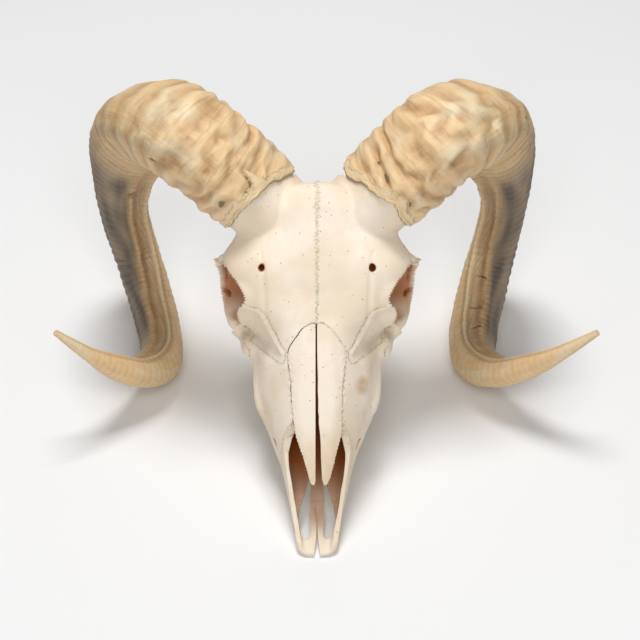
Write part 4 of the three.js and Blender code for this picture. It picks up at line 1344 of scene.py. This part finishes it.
        tear = ((20.4, 137), (23, 129), (35, 136), (49, 146), (80, 156))
        for side, right in SIDES:
            edge = Edge(tear, ((80, 170), (56, 171), (20, 171)), Suture(0.4, 2.6, 51 + right))
            take(f"lacrimal_{side}", side_prisms([(edge.outline(0), -34, 40)], right, FACE_AXES),
                 side_prisms([(edge.outline(self.gap), -34, 40)], right, FACE_AXES))
        cheek = ((124, 16), (132, 37), (146, 45), (160, 60), (182, 60), (186, 72), (200, 72), (207, 56),
                 (207, 36), (180, 30), (150, 20), (124, 16))
        for side, right in SIDES:
            edge = Edge(cheek, ((124.5, 15.5),), Suture(0.3, 2.6, 61 + right))
            take(f"cheekbone_{side}", side_prisms([(edge.outline(0), 46.5, 90)], right, SIDE_AXES),
                 side_prisms([(edge.outline(self.gap), 46.5 - self.gap, 90)], right, SIDE_AXES))

        def block(name: str, front: float, back: float) -> bpy.types.Object:
            """A copy of what is left between two places along the palate."""
            corners = np.array([(-90.0, front), (90, front), (90, back), (-90, back)])
            tool = prism("tool", corners, -60, 140, TOP_AXES)
            made = cut(copied(rest, name), tool, Cut.KEEP)
            drop(tool)
            return made

        face = block("face", -40, 156)
        bones["braincase"] = main_body(block("braincase", 156.3, 300))
        drop(rest)
        front = ((40, -12), (40, 8), (53, 20), (66, 38), (79, 66))
        # The seam of the palate runs a little to the right, so no light comes up through it.
        middle_gap = ((2.1, -9), (1.8, 2), (0.6, 13), (0.15, 24))
        for (side, right), off in zip(SIDES, (-1.3, 1.6)):
            half = np.array([*middle_gap, (off, 34), (off, 160), (90, 160), (90, -9)], float)
            half = side_prisms([(half, -60, 140)], right, TOP_AXES)[0]
            one = cut(copied(face, "half"), half, Cut.KEEP)
            edge = Edge(front, ((-12, 66), (-12, -12)), Suture(0.3, 2.4, 71 + right))
            for kind, gap, how in (("premaxilla", 0.0, Cut.KEEP), ("maxilla", self.gap, Cut.AWAY)):
                name = f"{kind}_{side}"
                tool = prism("tool", edge.outline(gap), -90, 90, SIDE_AXES)
                bones[name] = main_body(cut(copied(one, name), tool, how))
                drop(tool)
            drop(half, one)
        drop(face)
        return bones

    def inside(
        self, points: np.ndarray, at: tuple, half: tuple, turn: float, tilt: float
    ) -> np.ndarray:
        """How far each point is from the middle of a hollow, on either side, as a share of its half sizes."""
        away = np.column_stack([np.abs(points[:, 0]), points[:, 1:]]) - np.array(at, float)
        turned = Matrix.Rotation(math.radians(turn), 3, "Z") @ Matrix.Rotation(math.radians(tilt), 3, "X")
        return np.linalg.norm(away @ np.array(turned) / np.array(half, float), axis=1)

    def in_hollows(self, points: np.ndarray) -> np.ndarray:
        """How brown each point is: dried tissue in the nose, partly painted shade there too, and painted
        shade in holes and in the orbits, strongest high up and under the brow.
        """
        spread, height = np.abs(points[:, 0]), points[:, 2]
        y = np.clip(points[:, 1], self.cavity[0][0], self.cavity[-1][0])
        roof, brow, brow_z, cheek, cheek_z, gum, gum_z, palate = read_table(np.array(self.cavity, float), y).T
        low_share = np.clip((height - gum_z) / (cheek_z - gum_z), 0, 1)
        high_share = np.clip((height - cheek_z) / (brow_z - cheek_z), 0, 1)
        width = gum + (cheek - gum) * low_share + (brow - cheek) * high_share
        nose = smooth_step(1.3, 0.6, spread - width) * smooth_step(1.2, 0.3, height - roof)
        nose *= smooth_step(-2.3, -1.5, height - palate) * (points[:, 1] < 134)
        nose *= smooth_step(12, 30, points[:, 1]) * (0.5 + 0.5 * smooth_step(36, 72, points[:, 1]))
        below_edge = height - np.interp(points[:, 1], *np.array(self.nostril, float).T)
        nose *= np.where(points[:, 1] < 74, smooth_step(0.1, -0.5, below_edge), 1)
        # Painted shade: brown inside the holes, and in the orbits, strongest high up and under the brow.
        holes = sum(smooth_step(1.2, 1.0, self.inside(points, *hollow)) for hollow in self.hollows[1:])
        depth = smooth_step(1.10, 1.04, self.inside(points, *self.hollows[0])) * smooth_step(65, 55, spread)
        brow_x, brow_climb = np.array(self.brow, float).T
        climb = points @ FACE_UP
        socket = smooth_step(-0.5, 1.0, spread - np.interp(climb, brow_climb, brow_x))
        socket *= smooth_step(68, 62, spread)
        socket *= smooth_step(160, 178, climb) * smooth_step(-8, -14, points @ FACE_OUT)
        orbit = np.maximum(0.9 * socket, depth * (0.3 + 0.65 * smooth_step(44, 60, height)))
        return np.clip(np.maximum(nose, orbit) + 0.9 * holes, 0, 1)

    def nostril_walls(self, points: np.ndarray, normals: np.ndarray, brown: np.ndarray) -> np.ndarray:
        """How brown each point is, once the nostrils' inward walls are browned, partly as dried tissue and
        partly as painted shade, and the skin round them is clean.
        """
        lined = (normals[:, 0] * np.sign(points[:, 0]) < -0.3) & (np.abs(points[:, 0]) > 6)
        lined &= (points[:, 2] > 6) & (points[:, 1] > 24) & (points[:, 1] < 100)
        brown = np.maximum(brown, lined * (0.5 + 0.5 * smooth_step(36, 72, points[:, 1])))
        # The nostril's rim and the outer skin beside its upper corner are clean.
        edge_height = np.interp(points[:, 1], *np.array(self.nostril, float).T)
        skin = (normals @ FACE_OUT > 0.3) & (points[:, 2] > np.minimum(36, edge_height - 0.8))
        skin &= points[:, 1] < 94
        return np.where(skin, 0, brown)

    def mark(self, bones: dict[str, bpy.types.Object]) -> None:
        """Writes the marks that colour each bone: closeness to a seam, brown in hollows with painted shade in
        recesses, fat with a little painted shade, and pores with painted shade round them.
        """
        meshes = {}
        for name, bone in bones.items():
            polygons = [tuple(face.vertices) for face in bone.data.polygons]
            meshes[name] = (get_points(bone), get_normals(bone), polygons)
        corners, faces, start = [], [], 0
        trees = {}
        for name, (points, _, polygons) in meshes.items():
            corners += points.tolist()
            faces += [[v + start for v in polygon] for polygon in polygons]
            start += len(points)
            trees[name] = BVHTree.FromPolygons(points.tolist(), polygons)
        around = BVHTree.FromPolygons(corners, faces)
        random = np.random.default_rng(5)
        count = 9
        rays = random.normal(size=(count, 3))
        rays /= np.linalg.norm(rays, axis=1, keepdims=True)
        # In millimetres: how far off the surface a ray starts, how far it looks, and how far a seam is felt.
        clear, sight, felt = 0.25, 32.0, 2.4
        for name, (points, normals, _) in meshes.items():
            hidden = np.zeros(len(points))
            others = [tree for other, tree in trees.items() if other != name]
            near = np.full(len(points), 9.0)
            for i, (point, normal) in enumerate(zip(points, normals)):
                origin, out = Vector(point + normal * clear), Vector(normal)
                hits = 0
                for ray in rays:
                    way = out + Vector(ray) * 0.97
                    if around.ray_cast(origin, way.normalized(), sight)[0] is not None:
                        hits += 1
                hidden[i] = hits / count
            for tree in others:
                for i, point in enumerate(points.tolist()):
                    found = tree.find_nearest(point, min(felt, near[i]))
                    if found[0] is not None:
                        near[i] = min(near[i], found[3])
            bone = bones[name]
            face = face_points(points)
            write_mark(bone, "seam", (1 - smooth_step(0.2, 1.1, near)) * 0.6)
            # Brown where most rays from the surface soon meet bone: painted shade in recesses.
            brown = np.maximum(smooth_step(0.6, 1.0, hidden), self.in_hollows(points))
            brown = self.nostril_walls(points, normals, brown)
            # The walls of the gap between the nasal bones are painted brown as shade.
            if name.startswith("nasal"):
                split = smooth_step(4.2, 3.6, np.abs(points[:, 0]))
                split *= smooth_step(0.85, 0.3, normals @ FACE_OUT)
                brown = np.maximum(brown, 0.9 * split)
            write_mark(bone, "deep", brown)
            # Pores and a grey tint of painted shade in the hollow by the tear bone.
            fossa = Stroke(View.FACE, ((48, 149), (41, 146), (35, 140)), 6.5, 0.7).pull(points, normals)
            write_mark(bone, "pores_and_fossa_shade", fossa + 0.1)
            stain = Stroke(View.FACE, ((30.3, 112), (30.7, 116)), 7.0, 0.7).pull(points, normals)
            write_mark(bone, "stain", stain * (points[:, 0] > 0))
            top = smooth_step(243, 251, face[:, 1]) * (face[:, 2] > 0)
            tips = smooth_step(95, 52, face[:, 1]) * 0.6 if name.startswith("nasal") else 0.0
            # Yellower at the top and the nasal tips, and a little in recesses as painted shade.
            write_mark(bone, "fat_and_recess_shade", np.clip(top * 0.6 + tips + 0.3 * smooth_step(0.2, 0.8, hidden), 0, 1))
            log.info("%s marked", name)

    def build(self) -> list[bpy.types.Object]:
        """Builds and dresses every bone."""
        bones = self.part(self.whole())
        self.mark(bones)
        for name, bone in bones.items():
            bone.name = name + "_bone"
            self.pose.settle(bone)
            finish_piece(bone, self.finish, (name,), 40)
        return list(bones.values())


@dataclass
class Teeth:
    """One row of cheek teeth: three small premolars and three molars, with lobed sides and worn crowns."""

    side: str
    pose: Pose
    finish: bpy.types.Material
    # Length along the row, width, and crown height below the gum.
    sizes: tuple = ((8, 8, 7), (9.5, 10, 9), (10, 12, 10.5), (13, 14, 12), (16.5, 15, 13), (19, 14, 13))
    start: float = 77.0
    front_x: float = 21.5
    back_x: float = 30.5

    def build(self) -> bpy.types.Object:
        """Builds the row as one piece."""
        total = sum(size[0] + 0.5 for size in self.sizes)
        y, row = self.start, []
        angle = np.linspace(0, 2 * math.pi, 64, endpoint=False)
        for long, wide, tall in self.sizes:
            x = self.front_x + (self.back_x - self.front_x) * math.sqrt((y + long / 2 - self.start) / total)
            lobes = 1 if long < 11 else 2
            fold = np.cos(lobes * math.pi * np.sin(angle) + (lobes == 2) * math.pi)
            pinch = 1 - 0.14 * np.abs(np.cos(angle)) ** 2 * fold**2
            square = np.power(np.abs(np.cos(angle)) ** 3 + np.abs(np.sin(angle)) ** 3, -1 / 3)
            rings = []
            levels = (
                (-5, 0.95), (0, 1.0), (0.5 * tall, 0.98), (0.85 * tall, 0.92), (0.97 * tall, 0.85),
                (tall, 0.74), (0.94 * tall, 0.56), (0.9 * tall, 0.3),
            )
            for drop_by, size in levels:
                ring_x = x + 0.5 * wide * size * square * pinch * np.cos(angle) * 0.98
                ring_y = y + long / 2 + 0.5 * long * size * square * np.sin(angle) * 0.98
                crest = 0.5 * np.cos(2 * lobes * angle) * (size < 0.86)
                rings.append(np.column_stack([ring_x, ring_y, -drop_by + crest]))
            row.append(loft("tooth", np.array(rings)))
            y += long + 0.5
        teeth = joined(f"teeth_{self.side}", *row)
        height = get_points(teeth)[:, 2]
        # Browner near the gum and at the crowns of the big teeth.
        write_mark(teeth, "deep", 0.3 * smooth_step(-9, -13, height) + 0.4 * smooth_step(-2, 0.5, height))
        if self.side == "right":
            change_side(teeth)
        self.pose.settle(teeth)
        finish_piece(teeth, self.finish, (f"maxilla_{self.side}",), 35)
        return teeth


# ---- the studio ----


@dataclass(frozen=True)
class Studio:
    """A white paper floor, a large soft light overhead, and the camera in front of and above the nose."""

    target: tuple = (-4.44 * MM, -39.54 * MM, 121.0 * MM)
    distance: float = 1.4
    elevation: float = math.radians(40)
    lens: float = 118.125
    # Each lamp: its name, its place, the side of its square in metres, and its watts.
    lamps: tuple = (("overhead", (-0.1, 0.32, 2.0), 0.6, 24.0), ("front", (0.0, -1.6, 1.6), 1.1, 18.0))
    fill: float = 0.21

    def build(self, paper: bpy.types.Material) -> None:
        """Builds the floor, the lights, the world and the camera."""
        bpy.ops.object.select_all(action="DESELECT")
        bpy.ops.mesh.primitive_plane_add(size=9)
        floor = bpy.context.object
        floor.name = "floor"
        floor.data.materials.append(paper)
        for lamp in self.lamps:
            self.lamp(*lamp)
        world = bpy.data.worlds.new("studio")
        world.use_nodes = True
        sky = world.node_tree.nodes["Background"]
        sky.inputs["Color"].default_value = (1, 1, 1, 1)
        sky.inputs["Strength"].default_value = self.fill
        scene = bpy.context.scene
        scene.world = world
        scene.view_settings.view_transform = "Standard"
        back = Vector((0, -math.cos(self.elevation), math.sin(self.elevation)))
        bpy.ops.object.camera_add(location=Vector(self.target) + back * self.distance)
        camera = bpy.context.object
        camera.rotation_euler = (-back).to_track_quat("-Z", "Y").to_euler()
        camera.data.sensor_width = 36
        camera.data.lens = self.lens
        scene.camera = camera

    def lamp(self, name: str, place: tuple, size: float, watts: float) -> None:
        """Adds one square soft light that faces the middle of the floor."""
        bpy.ops.object.light_add(type="AREA", location=place)
        light = bpy.context.object
        light.name = name
        light.data.size = size
        light.data.energy = watts
        light.rotation_euler = (Vector() - Vector(place)).to_track_quat("-Z", "Y").to_euler()


def main() -> None:
    """Builds every piece in order and reports it."""
    logging.basicConfig(level=logging.INFO, format="%(name)s: %(message)s")
    pose = Pose.of_model()
    bone, keratin, enamel = Bone().material(), Keratin().material(), Enamel().material()
    Studio().build(Paper().material())
    Horn(
        "horn_right", 3, True, shift=(0, 0, 0, -1, 0, 1, 2.5, 1.5, 0.5, 0, 0, 0, 0, 0, 0),
        wider=(0, 0, -5, -8, -6, -5, -4.5, -3, -2, -1.5, 0, 3, 0, -2, 0),
        # The second scar's dent is painted brown as shade.
        scars=(Scar((69, 0.685), 1.8, 3.6, 2.2, "dark"), Scar((180, 0.41), 5, 6, 2.6, "furrow_shade")),
    ).build(pose, keratin)
    Horn(
        "horn_left", 8, False, shift=(0, 0, -2, -5, -5, -4, -3, -3, -2.5, -1.5, 1, 3, 6, 9, 13),
        wider=(0, 0, -3, -7, -9, -8, -7, -3, 1, 2, 1, 3, 1, 1, 0),
        rim=(
            (-0.022, 7.3), (0.008, 2.3), (0.039, -1), (0.068, -1.6), (0.2, -4), (0.35, -3), (0.5, 3),
            (0.6, 7), (0.676, 11.2), (0.735, 14.5), (0.789, 17.3), (0.829, 16.8), (0.865, 14.5),
            (0.901, 11.8), (0.944, 10.1), (0.978, 7.3), (1.008, 2.3),
        ),
        scars=(
            Scar((102, 0.775), 1.6, 2.8, 2.0, "dark"), Scar((80, 0.80), 2.2, 8, 0.6, "pale"),
            Scar((276, 0.47), 1.0, 6, 0.7, "dark"), Scar((308, 0.50), 0.9, 5, 0.7, "dark"),
            Scar((332, 0.53), 1.0, 6, 0.7, "dark"),
        ),
    ).build(pose, keratin)
    Skull(pose, bone).build()
    for side in ("left", "right"):
        Teeth(side, pose, enamel).build()


if __name__ == "__main__":
    main()
